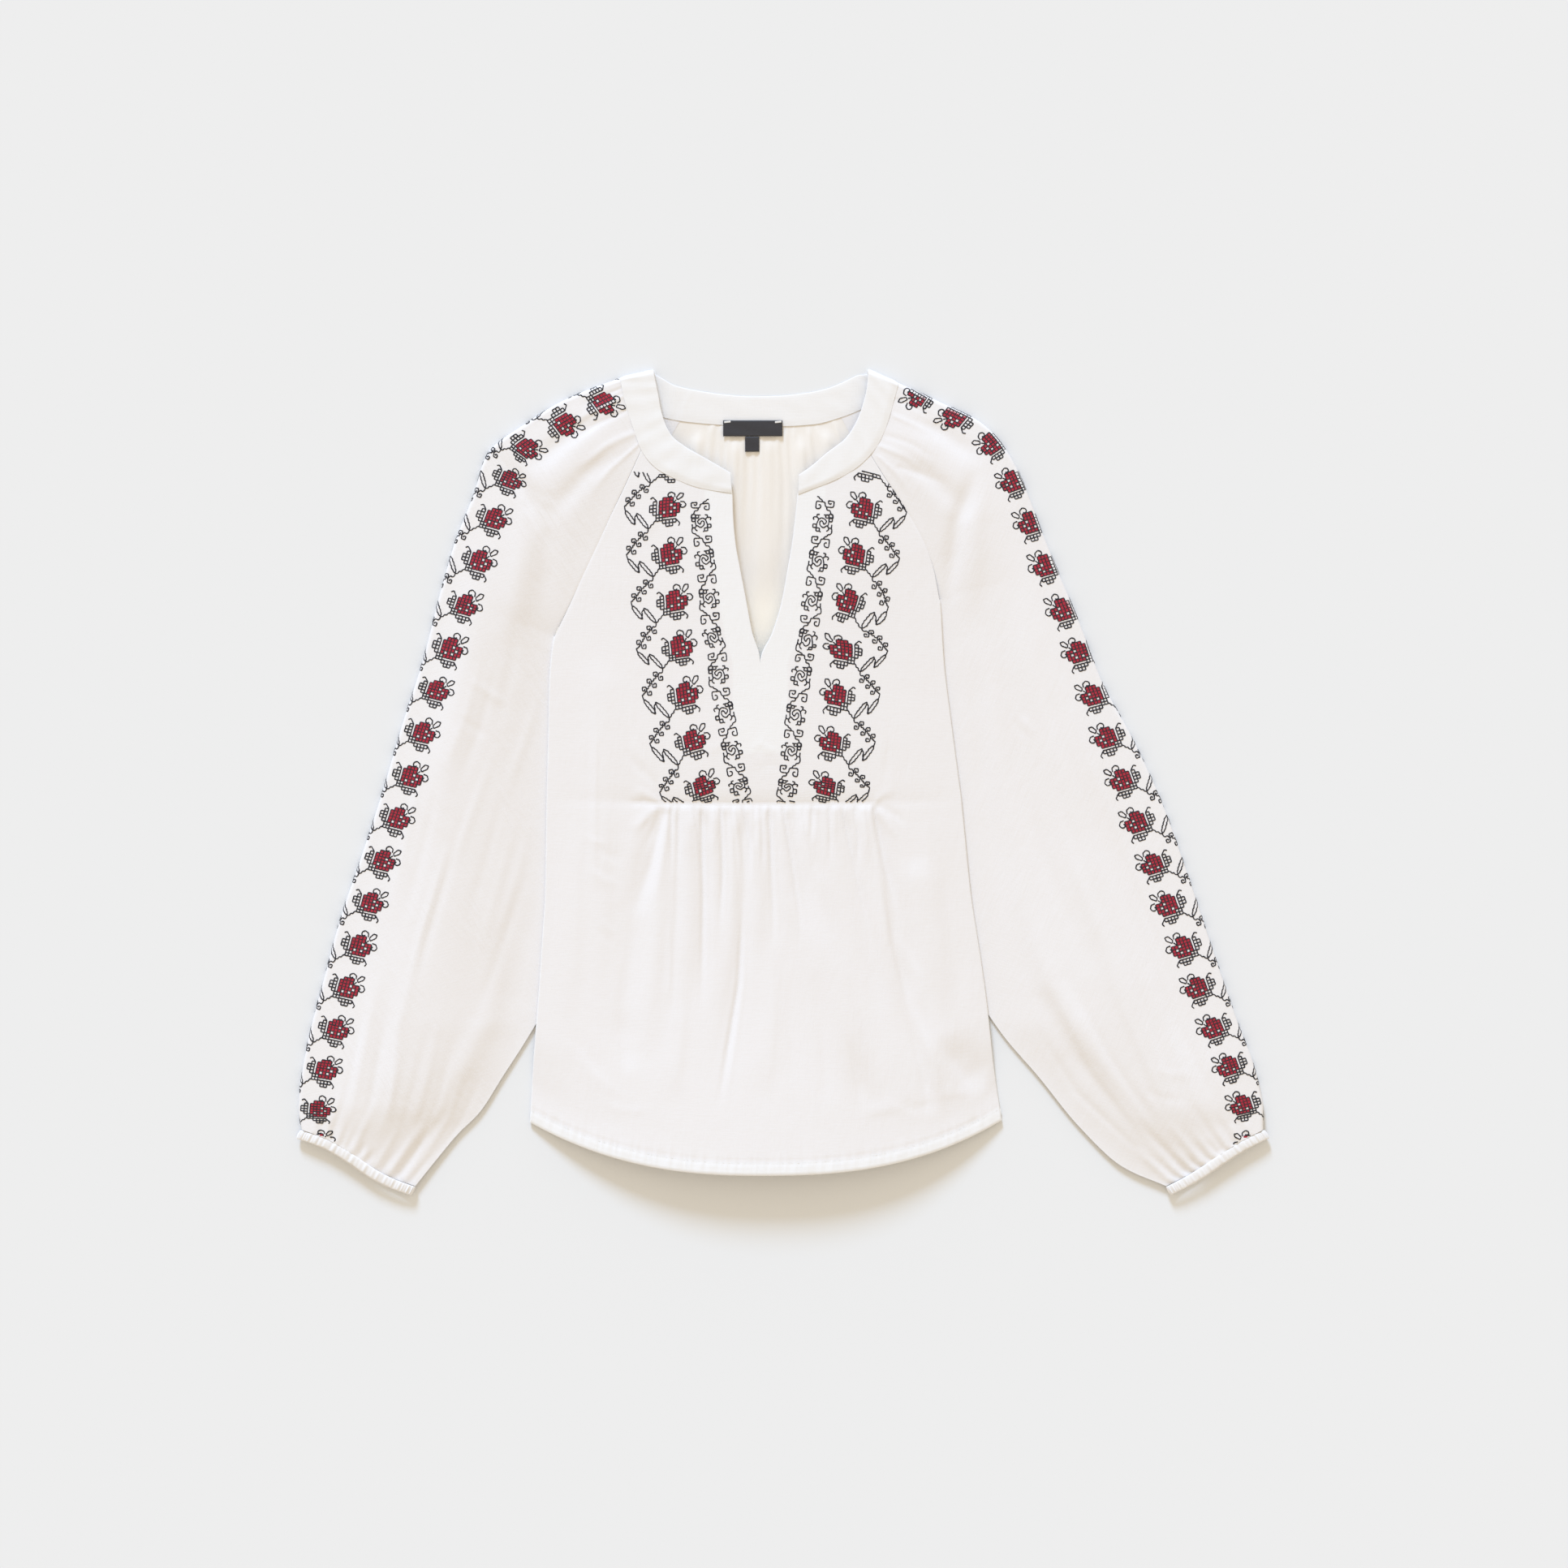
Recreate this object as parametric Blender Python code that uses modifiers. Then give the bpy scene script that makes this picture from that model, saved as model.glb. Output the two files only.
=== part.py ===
"""Embroidered folk blouse, long raglan sleeves, laid flat on its back.

The neck points to +Y, the wearer's right sleeve to -X and +Z is up from the surface.
Every panel is a sheet of cloth built on its own middle surface, then given its wall.
Tables are in millimetres from the middle of the laid blouse.
"""

import math
from collections import namedtuple

import bmesh
import bpy
from mathutils import Vector

MM = 0.001

# Cloth and seams
CLOTH_WALL = 1.2
BAND_WALL = 1.6
HEM_WALL = 2.0
CASING_WALL = 1.6
LABEL_WALL = 1.0
SEAM_GAP = 0.3
SEAM_INSET = SEAM_GAP / 2 + 0.05
NECK_SEAM_GAP = SEAM_GAP + 0.1
NECK_BACK_GAP = 1.0
STATION_GAP = 0.02
LAY_GAP = 0.3
FLOOR_MIDDLE = CLOTH_WALL / 2

# Mesh steps
BAND_STEPS = 2
SHOULDER_ROWS = 6
SLEEVE_FRONT_CELLS = 14
SLEEVE_BACK_CELLS = 5
TURN_CELLS = 4
SIDE_CELLS = 4
GATHER_CELLS = 16
BACK_CELLS = 24
SLIT_ROWS = 6

# How the body lies over the tucked inner part of each sleeve
TUCK_LIFT = 3.1
TUCK_COVER = 46.0
TUCK_FALL = 36.0
TUCK_TOP = 8.0
TUCK_TOP_FADE = 50.0
TUCK_FOOT = -216.0
TUCK_FOOT_FADE = 44.0
BACK_INSET = 1.0

# Body outline and slit. The gathers lie between these shares of the front's width
GATHER_LEFT = 0.517
GATHER_RIGHT = 0.564
HEM_CURVE_LEFT = 2.4
HEM_CURVE_RIGHT = 2.6
BODY_ROUND = 2.2
FOLD_FREE_SIDE = 0.15
# How far the curve of the neck seam reaches into the next two rows of a panel
FRONT_SEAM_BEND = (0.45, 0.12)
SLEEVE_SEAM_BEND = (0.55, 0.2)

# How a sleeve swells between its edges, and how its last rows settle to the wrist
CROWN_ROUND = 1.5
CROWN_FREE_EDGE = 0.12
WRIST_SETTLE_ROWS = 2
WRIST_SETTLE_LEFT = 0.35
BACK_RAISE_FROM = 0.6
BACK_RAISE_AFTER = 5

# Wrist casing
CASING_DEPTH = 8.0
CASING_GAP = SEAM_GAP + 0.2
CASING_HALF_HEIGHT = 3.2
CASING_FLATNESS = 0.5
CASING_SWELL = 0.3
CASING_STEPS = 26
CASING_RUCHES = 13
CASING_RUCHE_HEIGHT = 0.35

# Neck label and size tab
LABEL_WIDE = 50.4
LABEL_DEEP = 13.5
LABEL_X = -25.5
LABEL_Y = 302.5
LABEL_HEIGHT = 2.25
TAB_WIDE = 12.0
TAB_DEEP = 12.8
TAB_X = -26.0
TAB_HEIGHT = 1.95
WOVEN_EDGE = 0.2

NeckRow = namedtuple("NeckRow", "seam_x seam_y free_x free_y height")
# Round the neckband from the slit on the wearer's right, over that shoulder, across the back
# and over the other shoulder to the slit again. The seam holds the gathered panels.
NECK = [
    NeckRow(-43.0, 247.0, -44.5, 264.0, 8.4),
    NeckRow(-68.5, 251.0, -64.0, 275.0, 8.2),
    NeckRow(-94.0, 260.5, -82.5, 285.5, 7.8),
    NeckRow(-109.5, 270.0, -94.0, 294.5, 7.4),
    NeckRow(-120.5, 284.5, -100.5, 306.0, 7.0),
    NeckRow(-125.0, 296.5, -104.0, 317.5, 6.8),
    NeckRow(-131.5, 316.5, -106.5, 331.0, 6.6),
    NeckRow(-135.5, 331.0, -108.5, 340.5, 6.5),
    NeckRow(-137.5, 342.0, -110.0, 348.5, 6.4),
    NeckRow(-138.3, 345.5, -110.5, 351.5, 3.6),
    NeckRow(-137.5, 342.0, -109.5, 348.5, 0.8),
    NeckRow(-131.5, 331.0, -103.0, 344.5, 0.8),
    NeckRow(-116.5, 318.5, -93.5, 339.0, 0.8),
    NeckRow(-99.5, 311.5, -79.0, 335.0, 0.8),
    NeckRow(-87.5, 309.0, -70.5, 333.5, 0.8),
    NeckRow(-58.5, 306.0, -49.5, 330.5, 0.8),
    NeckRow(-29.5, 304.5, -27.5, 329.0, 0.8),
    NeckRow(-0.5, 304.5, -4.5, 329.5, 0.8),
    NeckRow(26.0, 306.0, 17.5, 331.5, 0.8),
    NeckRow(49.5, 312.0, 37.0, 335.5, 0.8),
    NeckRow(66.0, 318.5, 53.5, 342.0, 0.8),
    NeckRow(82.5, 327.5, 64.0, 347.0, 0.8),
    NeckRow(97.5, 337.5, 72.0, 348.5, 0.8),
    NeckRow(98.3, 341.0, 73.0, 352.0, 3.6),
    NeckRow(97.5, 337.5, 73.0, 348.0, 6.4),
    NeckRow(94.0, 324.5, 72.0, 337.0, 6.5),
    NeckRow(90.0, 310.0, 68.5, 322.0, 6.6),
    NeckRow(82.5, 291.5, 62.0, 305.5, 6.8),
    NeckRow(75.0, 280.5, 53.5, 293.0, 7.0),
    NeckRow(63.0, 269.0, 39.5, 282.0, 7.4),
    NeckRow(45.0, 258.5, 24.5, 269.5, 7.8),
    NeckRow(13.0, 246.0, 13.5, 262.0, 8.4),
]
# Places on that round where one panel stops and the next begins; the slit is at place 0
RAGLAN_FRONT_RIGHTHAND = 4
TURN_RIGHTHAND = (8, 10)
RAGLAN_BACK_RIGHTHAND = 14
RAGLAN_BACK_LEFTHAND = 19
TURN_LEFTHAND = (22, 24)
RAGLAN_FRONT_LEFTHAND = 28
SLIT_LEFTHAND = 31

SLEEVE_COLUMNS = "outer_x outer_y inner_x inner_y crown inner_height fold_height tuck"
SleeveRow = namedtuple("SleeveRow", SLEEVE_COLUMNS)
# Straight lines across a sleeve from its outer fold to its inner edge, neck end first.
# The inner edge is the front raglan seam for seven rows, then the underarm seam.
SLEEVE_RIGHTHAND = [
    SleeveRow(-138.3, 345.5, -120.5, 284.5, 0.2, 7.0, 6.4, 0.0),
    SleeveRow(-182.5, 328.0, -133.5, 255.0, 2.5, 7.0, 6.2, 0.0),
    SleeveRow(-219.0, 306.0, -146.0, 228.5, 3.5, 6.8, 6.2, 0.0),
    SleeveRow(-251.0, 280.5, -157.5, 203.0, 4.0, 6.5, 6.2, 0.0),
    SleeveRow(-263.0, 245.0, -169.5, 177.5, 4.0, 6.2, 6.2, 0.0),
    SleeveRow(-278.5, 205.5, -181.0, 152.0, 4.5, 4.8, 6.2, 0.0),
    SleeveRow(-291.0, 162.5, -193.5, 126.0, 5.0, 2.2, 6.2, 4.0),
    SleeveRow(-306.5, 102.5, -180.5, 80.5, 5.5, 2.2, 6.2, 23.0),
    SleeveRow(-322.5, 53.0, -172.0, 28.5, 6.0, 2.2, 6.2, 32.0),
    SleeveRow(-341.0, -9.5, -167.5, -33.5, 6.5, 2.2, 6.2, 37.0),
    SleeveRow(-359.0, -64.5, -170.0, -88.5, 7.0, 2.2, 6.2, 37.0),
    SleeveRow(-375.5, -113.0, -179.5, -137.0, 7.5, 2.2, 6.2, 36.0),
    SleeveRow(-389.5, -164.5, -197.0, -180.0, 8.5, 2.2, 6.2, 26.0),
    SleeveRow(-400.5, -206.0, -216.0, -214.0, 9.0, 2.2, 6.2, 8.0),
    SleeveRow(-407.5, -240.0, -237.5, -247.5, 9.0, 2.6, 6.2, 0.0),
    SleeveRow(-410.5, -262.0, -257.5, -278.5, 8.5, 2.8, 6.0, 0.0),
    SleeveRow(-411.0, -275.0, -276.0, -297.0, 7.0, 3.0, 6.0, 0.0),
    SleeveRow(-410.0, -285.0, -296.0, -321.0, 4.0, 3.5, 6.5, 0.0),
    SleeveRow(-408.5, -293.0, -312.0, -341.0, 1.9, 4.0, 7.0, 0.0),
]
SLEEVE_LEFTHAND = [
    SleeveRow(98.3, 341.0, 75.0, 280.5, 0.2, 7.0, 6.4, 0.0),
    SleeveRow(135.0, 324.0, 86.5, 261.0, 2.5, 7.0, 6.2, 0.0),
    SleeveRow(170.0, 306.0, 98.5, 242.5, 3.5, 6.8, 6.2, 0.0),
    SleeveRow(192.0, 280.5, 110.0, 224.0, 4.0, 6.5, 6.2, 0.0),
    SleeveRow(205.5, 253.0, 119.5, 206.0, 4.0, 6.2, 6.2, 0.0),
    SleeveRow(218.5, 218.5, 127.5, 184.0, 4.0, 4.8, 6.2, 0.0),
    SleeveRow(231.5, 186.0, 133.0, 156.5, 4.0, 2.2, 6.2, 4.0),
    SleeveRow(252.0, 137.0, 123.0, 104.5, 4.5, 2.2, 6.2, 22.0),
    SleeveRow(271.0, 87.5, 112.0, 49.5, 5.0, 2.2, 6.2, 38.0),
    SleeveRow(297.0, 39.0, 118.0, -13.0, 5.5, 2.2, 6.2, 40.0),
    SleeveRow(321.0, -13.0, 122.0, -64.5, 6.0, 2.2, 6.2, 40.0),
    SleeveRow(341.0, -68.0, 130.0, -109.5, 7.0, 2.2, 6.2, 38.0),
    SleeveRow(360.5, -126.5, 145.0, -144.0, 8.0, 2.2, 6.2, 28.0),
    SleeveRow(375.0, -169.5, 164.0, -178.5, 9.0, 2.2, 6.2, 14.0),
    SleeveRow(388.0, -206.5, 187.0, -213.0, 9.0, 2.4, 6.2, 0.0),
    SleeveRow(398.0, -232.0, 217.0, -248.0, 9.0, 2.6, 6.2, 0.0),
    SleeveRow(404.5, -256.0, 252.0, -291.0, 8.5, 2.8, 6.0, 0.0),
    SleeveRow(408.0, -277.0, 289.0, -325.0, 4.5, 3.5, 6.5, 0.0),
    SleeveRow(408.0, -293.0, 325.5, -341.0, 1.9, 4.0, 7.0, 0.0),
]

SideRow = namedtuple("SideRow", "y left right")
# Sides of the laid body, underarm to hem
SIDES = [
    SideRow(160.0, -198.0, 132.8),
    SideRow(126.0, -193.5, 134.5),
    SideRow(94.0, -197.5, 137.0),
    SideRow(25.0, -199.0, 146.0),
    SideRow(-13.0, -200.0, 151.0),
    SideRow(-90.0, -201.0, 158.5),
    SideRow(-175.0, -206.5, 171.5),
    SideRow(-244.0, -212.0, 179.0),
    SideRow(-287.0, -214.3, 185.5),
]

SlitRow = namedtuple("SlitRow", "y left right left_y left_x right_y right_x edge crown")
# Rows of the front from the neck seam to the foot of the slit
SLIT = [
    SlitRow(246.5, -43.0, 13.0, 284.5, -120.5, 280.5, 75.0, 7.0, 8.4),
    SlitRow(225.0, -42.3, 10.8, 255.0, -133.5, 261.0, 86.5, 7.0, 8.6),
    SlitRow(203.0, -40.2, 8.0, 228.5, -146.0, 242.5, 98.5, 6.8, 9.0),
    SlitRow(180.0, -36.0, 4.0, 203.0, -157.5, 224.0, 110.0, 6.5, 9.3),
    SlitRow(155.0, -31.2, -0.6, 177.5, -169.5, 206.0, 119.5, 6.2, 9.6),
    SlitRow(129.0, -26.3, -8.5, 152.0, -181.0, 184.0, 127.5, 5.6, 9.8),
    SlitRow(102.5, -19.2, -19.2, 126.0, -193.5, 156.5, 133.0, 5.3, 10.0),
]

FrontRow = namedtuple("FrontRow", "left_y middle_y right_y edge crown wall")
# Rows of the front from the slit down to the turned hem
FRONT = [
    FrontRow(88.0, 64.0, 106.0, 5.3, 10.4, CLOTH_WALL),
    FrontRow(44.0, 28.0, 50.0, 5.3, 10.8, CLOTH_WALL),
    FrontRow(4.0, -4.0, 4.0, 5.3, 10.6, CLOTH_WALL),
    FrontRow(-12.0, -16.0, -13.0, 5.3, 9.8, CLOTH_WALL),
    FrontRow(-17.0, -21.5, -18.0, 5.3, 10.4, CLOTH_WALL),
    FrontRow(-26.0, -31.0, -27.0, 5.3, 10.8, CLOTH_WALL),
    FrontRow(-42.0, -49.0, -43.0, 5.3, 11.2, CLOTH_WALL),
    FrontRow(-66.0, -76.0, -67.0, 5.3, 11.6, CLOTH_WALL),
    FrontRow(-94.0, -108.0, -95.0, 5.3, 12.2, CLOTH_WALL),
    FrontRow(-126.0, -144.0, -126.0, 5.3, 13.0, CLOTH_WALL),
    FrontRow(-158.0, -180.0, -158.0, 5.3, 14.0, CLOTH_WALL),
    FrontRow(-188.0, -214.0, -188.0, 5.3, 15.4, CLOTH_WALL),
    FrontRow(-214.0, -246.0, -214.0, 5.3, 17.0, CLOTH_WALL),
    FrontRow(-238.0, -275.0, -238.0, 4.0, 18.6, CLOTH_WALL),
    FrontRow(-260.0, -302.0, -260.0, 2.7, 20.0, CLOTH_WALL),
    FrontRow(-275.2, -318.0, -274.4, 2.9, 20.8, CLOTH_WALL),
    FrontRow(-276.4, -319.4, -275.6, 3.0, 21.0, HEM_WALL),
    FrontRow(-287.0, -330.2, -285.5, 3.0, 21.6, HEM_WALL),
]

BackRow = namedtuple("BackRow", "side_y middle_y wall")
# Rows of the back below the underarm, shorter than the front so that it stays hidden
BACK = [
    BackRow(88.0, 64.0, CLOTH_WALL),
    BackRow(44.0, 22.0, CLOTH_WALL),
    BackRow(4.0, -20.0, CLOTH_WALL),
    BackRow(-36.0, -64.0, CLOTH_WALL),
    BackRow(-76.0, -108.0, CLOTH_WALL),
    BackRow(-116.0, -152.0, CLOTH_WALL),
    BackRow(-156.0, -196.0, CLOTH_WALL),
    BackRow(-196.0, -240.0, CLOTH_WALL),
    BackRow(-230.0, -278.0, CLOTH_WALL),
    BackRow(-258.0, -306.0, CLOTH_WALL),
    BackRow(-272.2, -315.0, CLOTH_WALL),
    BackRow(-273.4, -316.4, HEM_WALL),
    BackRow(-284.0, -327.2, HEM_WALL),
]

Fold = namedtuple("Fold", "x1 y1 x2 y2 x3 y3 height width spread")
# Gathers below the bib seam and the soft folds of the skirt of the blouse; a trough is negative
FRONT_FOLDS = [
    Fold(-102.0, -18.0, -130.0, -109.0, -141.0, -250.0, -2.6, 7.0, 17.0),
    Fold(-97.0, -18.0, -104.0, -100.0, -116.0, -240.0, 2.4, 5.0, 13.0),
    Fold(-91.0, -18.0, -93.0, -105.0, -100.0, -200.0, -1.8, 4.2, 7.0),
    Fold(-78.0, -18.0, -79.0, -90.0, -84.0, -190.0, 1.8, 5.0, 10.0),
    Fold(-68.0, -18.0, -64.5, -78.0, -69.5, -200.0, -2.4, 4.6, 8.0),
    Fold(-58.0, -18.0, -56.0, -70.0, -60.0, -150.0, 1.6, 4.6, 8.0),
    Fold(-48.5, -18.0, -50.0, -64.0, -58.0, -135.0, -1.6, 4.4, 7.0),
    Fold(-41.0, -18.0, -42.0, -90.0, -46.0, -200.0, 1.8, 4.4, 9.0),
    Fold(-33.0, -18.0, -34.0, -130.0, -54.0, -285.0, -2.8, 4.6, 11.0),
    Fold(-22.0, -18.0, -21.0, -78.0, -20.0, -150.0, 1.6, 4.6, 9.0),
    Fold(-11.0, -18.0, -10.0, -80.0, -7.0, -150.0, -1.6, 4.6, 8.0),
    Fold(-3.0, -18.0, 3.0, -80.0, 12.0, -140.0, 1.3, 4.6, 8.0),
    Fold(4.0, -18.0, 12.0, -80.0, 22.0, -140.0, -1.6, 4.6, 8.0),
    Fold(16.0, -18.0, 32.0, -120.0, 64.0, -270.0, 2.6, 6.0, 16.0),
    Fold(27.0, -18.0, 28.0, -45.0, 34.0, -90.0, -1.4, 4.6, 7.0),
    Fold(52.0, -18.0, 69.0, -120.0, 94.0, -225.0, -2.0, 5.0, 11.0),
    Fold(64.0, -18.0, 80.0, -80.0, 100.0, -170.0, 1.8, 5.0, 10.0),
    Fold(77.0, -18.0, 96.0, -110.0, 120.0, -275.0, -2.4, 6.0, 15.0),
    Fold(112.0, -60.0, 122.0, -150.0, 136.0, -275.0, 2.2, 12.0, 14.0),
    Fold(-153.0, 120.0, -152.0, 10.0, -156.0, -210.0, 2.0, 14.0, 18.0),
]
# Gathers of the back below the neckband, seen through the neck
BACK_FOLDS = [
    Fold(-72.0, 300.0, -74.0, 270.0, -80.0, 200.0, 2.0, 5.0, 8.0),
    Fold(-40.0, 299.0, -42.0, 250.0, -46.0, 130.0, 2.4, 5.0, 8.0),
    Fold(-12.0, 299.0, -12.0, 250.0, -14.0, 150.0, 1.8, 6.0, 9.0),
    Fold(15.0, 299.0, 17.0, 250.0, 14.0, 120.0, 2.4, 5.0, 8.0),
    Fold(36.0, 303.0, 40.0, 270.0, 46.0, 200.0, 2.0, 5.0, 8.0),
]
SLEEVE_FOLDS_RIGHTHAND = [
    Fold(-138.0, 315.0, -176.0, 300.0, -222.0, 262.0, -1.8, 6.0, 10.0),
    Fold(-128.0, 292.0, -168.0, 262.0, -204.0, 220.0, -1.6, 6.0, 10.0),
    Fold(-215.0, 275.0, -208.0, 215.0, -203.0, 140.0, -3.0, 9.0, 11.0),
    Fold(-206.0, 262.0, -196.0, 205.0, -191.0, 150.0, 1.6, 7.0, 8.0),
    Fold(-255.0, 215.0, -268.0, 100.0, -300.0, -60.0, 1.8, 13.0, 16.0),
    Fold(-312.0, -120.0, -326.0, -215.0, -338.0, -310.0, 2.8, 11.0, 6.5),
    Fold(-340.0, -120.0, -354.0, -215.0, -366.0, -300.0, 2.4, 10.0, 6.0),
    Fold(-328.0, -150.0, -342.0, -230.0, -352.0, -306.0, -2.4, 8.0, 5.0),
    Fold(-236.0, -60.0, -250.0, -200.0, -318.0, -318.0, 2.2, 14.0, 7.0),
    Fold(-262.0, -180.0, -290.0, -260.0, -330.0, -318.0, -2.2, 11.0, 6.0),
]
SLEEVE_FOLDS_LEFTHAND = [
    Fold(100.0, 312.0, 136.0, 298.0, 172.0, 270.0, -1.8, 6.0, 10.0),
    Fold(88.0, 284.0, 124.0, 262.0, 160.0, 226.0, -1.6, 6.0, 10.0),
    Fold(168.0, 280.0, 152.0, 225.0, 142.0, 170.0, -3.0, 10.0, 11.0),
    Fold(196.0, 215.0, 214.0, 100.0, 262.0, -60.0, 1.8, 14.0, 18.0),
    Fold(222.0, 60.0, 262.0, -100.0, 330.0, -290.0, 2.6, 15.0, 8.0),
    Fold(262.0, 40.0, 306.0, -110.0, 358.0, -280.0, -2.2, 12.0, 6.0),
    Fold(190.0, -40.0, 228.0, -170.0, 312.0, -308.0, 2.4, 14.0, 7.0),
    Fold(196.0, -130.0, 250.0, -230.0, 320.0, -316.0, -2.2, 11.0, 6.0),
]
FOLD_START = 0.10
FOLD_END = 0.35

PALE_COTTON = (0.87, 0.85, 0.81, 1.0)
BAND_COTTON = (0.90, 0.89, 0.86, 1.0)
LABEL_BLACK = (0.02, 0.02, 0.025, 1.0)


def smoothstep(value):
    """Soft step from 0 to 1."""
    value = min(1.0, max(0.0, value))
    return value * value * (3 - 2 * value)


def monotone(values, at):
    """Value of a smooth curve through evenly spaced values that never overshoots them."""
    count = len(values)
    index = min(count - 2, max(0, int(math.floor(at))))
    part = at - index

    def slope(i):
        if i == 0:
            return values[1] - values[0]
        if i == count - 1:
            return values[-1] - values[-2]
        before = values[i] - values[i - 1]
        after = values[i + 1] - values[i]
        if before * after <= 0:
            return 0.0
        return 2 * before * after / (before + after)

    low, high = values[index], values[index + 1]
    start, end = slope(index), slope(index + 1)
    square, cube = part * part, part ** 3
    rise = 3 * square - 2 * cube
    return low + (high - low) * rise + start * (cube - 2 * square + part) + end * (cube - square)


def neck_point(at, column):
    """A point of the neckband, on its seam or its free edge, at a place on its round."""
    across = monotone([getattr(row, column + "_x") for row in NECK], at)
    along = monotone([getattr(row, column + "_y") for row in NECK], at)
    return Vector((across, along, monotone([row.height for row in NECK], at)))


def neck_seam(at, height=None, gap=NECK_SEAM_GAP):
    """The neck seam as the gathered panels meet it, a seam gap outside the band."""
    seam = neck_point(at, "seam")
    outward = seam - neck_point(at, "free")
    outward.z = 0.0
    point = seam + outward.normalized() * gap
    if height is not None:
        point.z = height
    return point


def side_x(y, hand):
    """How far out the laid body reaches at a height on its side."""
    rows = SIDES
    for above, below in zip(rows, rows[1:]):
        if y >= below.y:
            part = (above.y - y) / (above.y - below.y)
            return getattr(above, hand) + (getattr(below, hand) - getattr(above, hand)) * max(0.0, part)
    return getattr(rows[-1], hand)


def fold_height(x, y, folds):
    """Height that the laid folds add at one place."""
    total = 0.0
    for fold in folds:
        points = [(fold.x1, fold.y1), (fold.x2, fold.y2), (fold.x3, fold.y3)]
        lengths = [math.dist(points[0], points[1]), math.dist(points[1], points[2])]
        best = None
        passed = 0.0
        for (ax, ay), (bx, by), length in zip(points, points[1:], lengths):
            part = ((x - ax) * (bx - ax) + (y - ay) * (by - ay)) / length ** 2
            part = min(1.0, max(0.0, part))
            away = math.hypot(x - ax - (bx - ax) * part, y - ay - (by - ay) * part)
            if best is None or away < best[0]:
                best = (away, (passed + part * length) / sum(lengths))
            passed += length
        away, along = best
        width = fold.width + (fold.spread - fold.width) * along
        fade = smoothstep(along / FOLD_START) * smoothstep((1 - along) / FOLD_END)
        total += fold.height * fade * math.exp(-(away / width) ** 2)
    return total


def tuck_lift(x, y):
    """How high the back panel is held by the sleeve that is tucked under the body's side."""
    shares = []
    underarm = SLIT[-1]
    sides = ((x - side_x(y, "left"), underarm.left_y), (side_x(y, "right") - x, underarm.right_y))
    for inside, underarm_y in sides:
        across = 1 - smoothstep((inside - TUCK_COVER) / TUCK_FALL)
        top = 1 - smoothstep((y - underarm_y - TUCK_TOP) / TUCK_TOP_FADE)
        shares.append(across * top)
    foot = 1 - smoothstep((TUCK_FOOT - y) / TUCK_FOOT_FADE)
    return TUCK_LIFT * max(shares) * foot


def make_material(name, colour, roughness):
    """Plain cloth material."""
    material = bpy.data.materials.new(name)
    material.use_nodes = True
    shader = material.node_tree.nodes["Principled BSDF"]
    shader.inputs["Base Color"].default_value = colour
    shader.inputs["Roughness"].default_value = roughness
    shader.inputs["Metallic"].default_value = 0.0
    material.diffuse_color = colour
    return material


def make_sheet(name, rows, wall, material, walls=None, ring=False, gap_rows=0, gap_column=None):
    """Sheet of cloth through rows of points, thickened evenly both ways from its middle.

    Rows that stop at the slit carry their two edges as neighbouring points.
    """
    mesh = bpy.data.meshes.new(name)
    build = bmesh.new()
    grid = []
    for index, row in enumerate(rows):
        line = []
        for column, point in enumerate(row):
            joined = gap_column is not None and index >= gap_rows and column == gap_column + 1
            line.append(line[-1] if joined else build.verts.new(Vector(point) * MM))
        grid.append(line)
    pairs = list(zip(grid, grid[1:]))
    if ring:
        pairs.append((grid[-1], grid[0]))
    for upper, lower in pairs:
        for column in range(len(upper) - 1):
            if gap_column is not None and column == gap_column:
                continue
            build.faces.new((upper[column], lower[column], lower[column + 1], upper[column + 1]))
    build.to_mesh(mesh)
    build.free()
    body = bpy.data.objects.new(name, mesh)
    thickness = body.modifiers.new("cloth wall", "SOLIDIFY")
    thickness.thickness = wall * MM
    thickness.offset = 0.0
    thickness.use_even_offset = True
    thickness.use_rim = True
    if walls is not None:
        share = body.vertex_groups.new(name="wall share")
        vertex = 0
        for index, row in enumerate(rows):
            for column in range(len(row)):
                if gap_column is not None and index >= gap_rows and column == gap_column + 1:
                    continue
                share.add([vertex], walls[index] / wall, "REPLACE")
                vertex += 1
        thickness.vertex_group = share.name
    for polygon in mesh.polygons:
        polygon.use_smooth = True
    mesh.materials.append(material)
    blouse.objects.link(body)
    return body


def make_neckband(material):
    """Straight band of doubled cloth round the neck, turned over at each shoulder."""
    rows = []
    for step in range((len(NECK) - 1) * BAND_STEPS + 1):
        at = step / BAND_STEPS
        seam, free = neck_point(at, "seam"), neck_point(at, "free")
        rows.append([seam, seam.lerp(free, 0.5), free])
    make_sheet("neckband", rows, BAND_WALL, material)


def sleeve_row(table, at):
    """One line across a sleeve, its columns read from the smooth table."""
    values = {}
    for name in SLEEVE_COLUMNS.split():
        values[name] = monotone([getattr(row, name) for row in table], at)
    if at < SHOULDER_ROWS:
        # The raglan seam runs straight between rows, as the front's edge does
        low = int(math.floor(at))
        for name in ("inner_x", "inner_y", "inner_height"):
            first, second = getattr(table[low], name), getattr(table[low + 1], name)
            values[name] = first + (second - first) * (at - low)
    return SleeveRow(**values)


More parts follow.
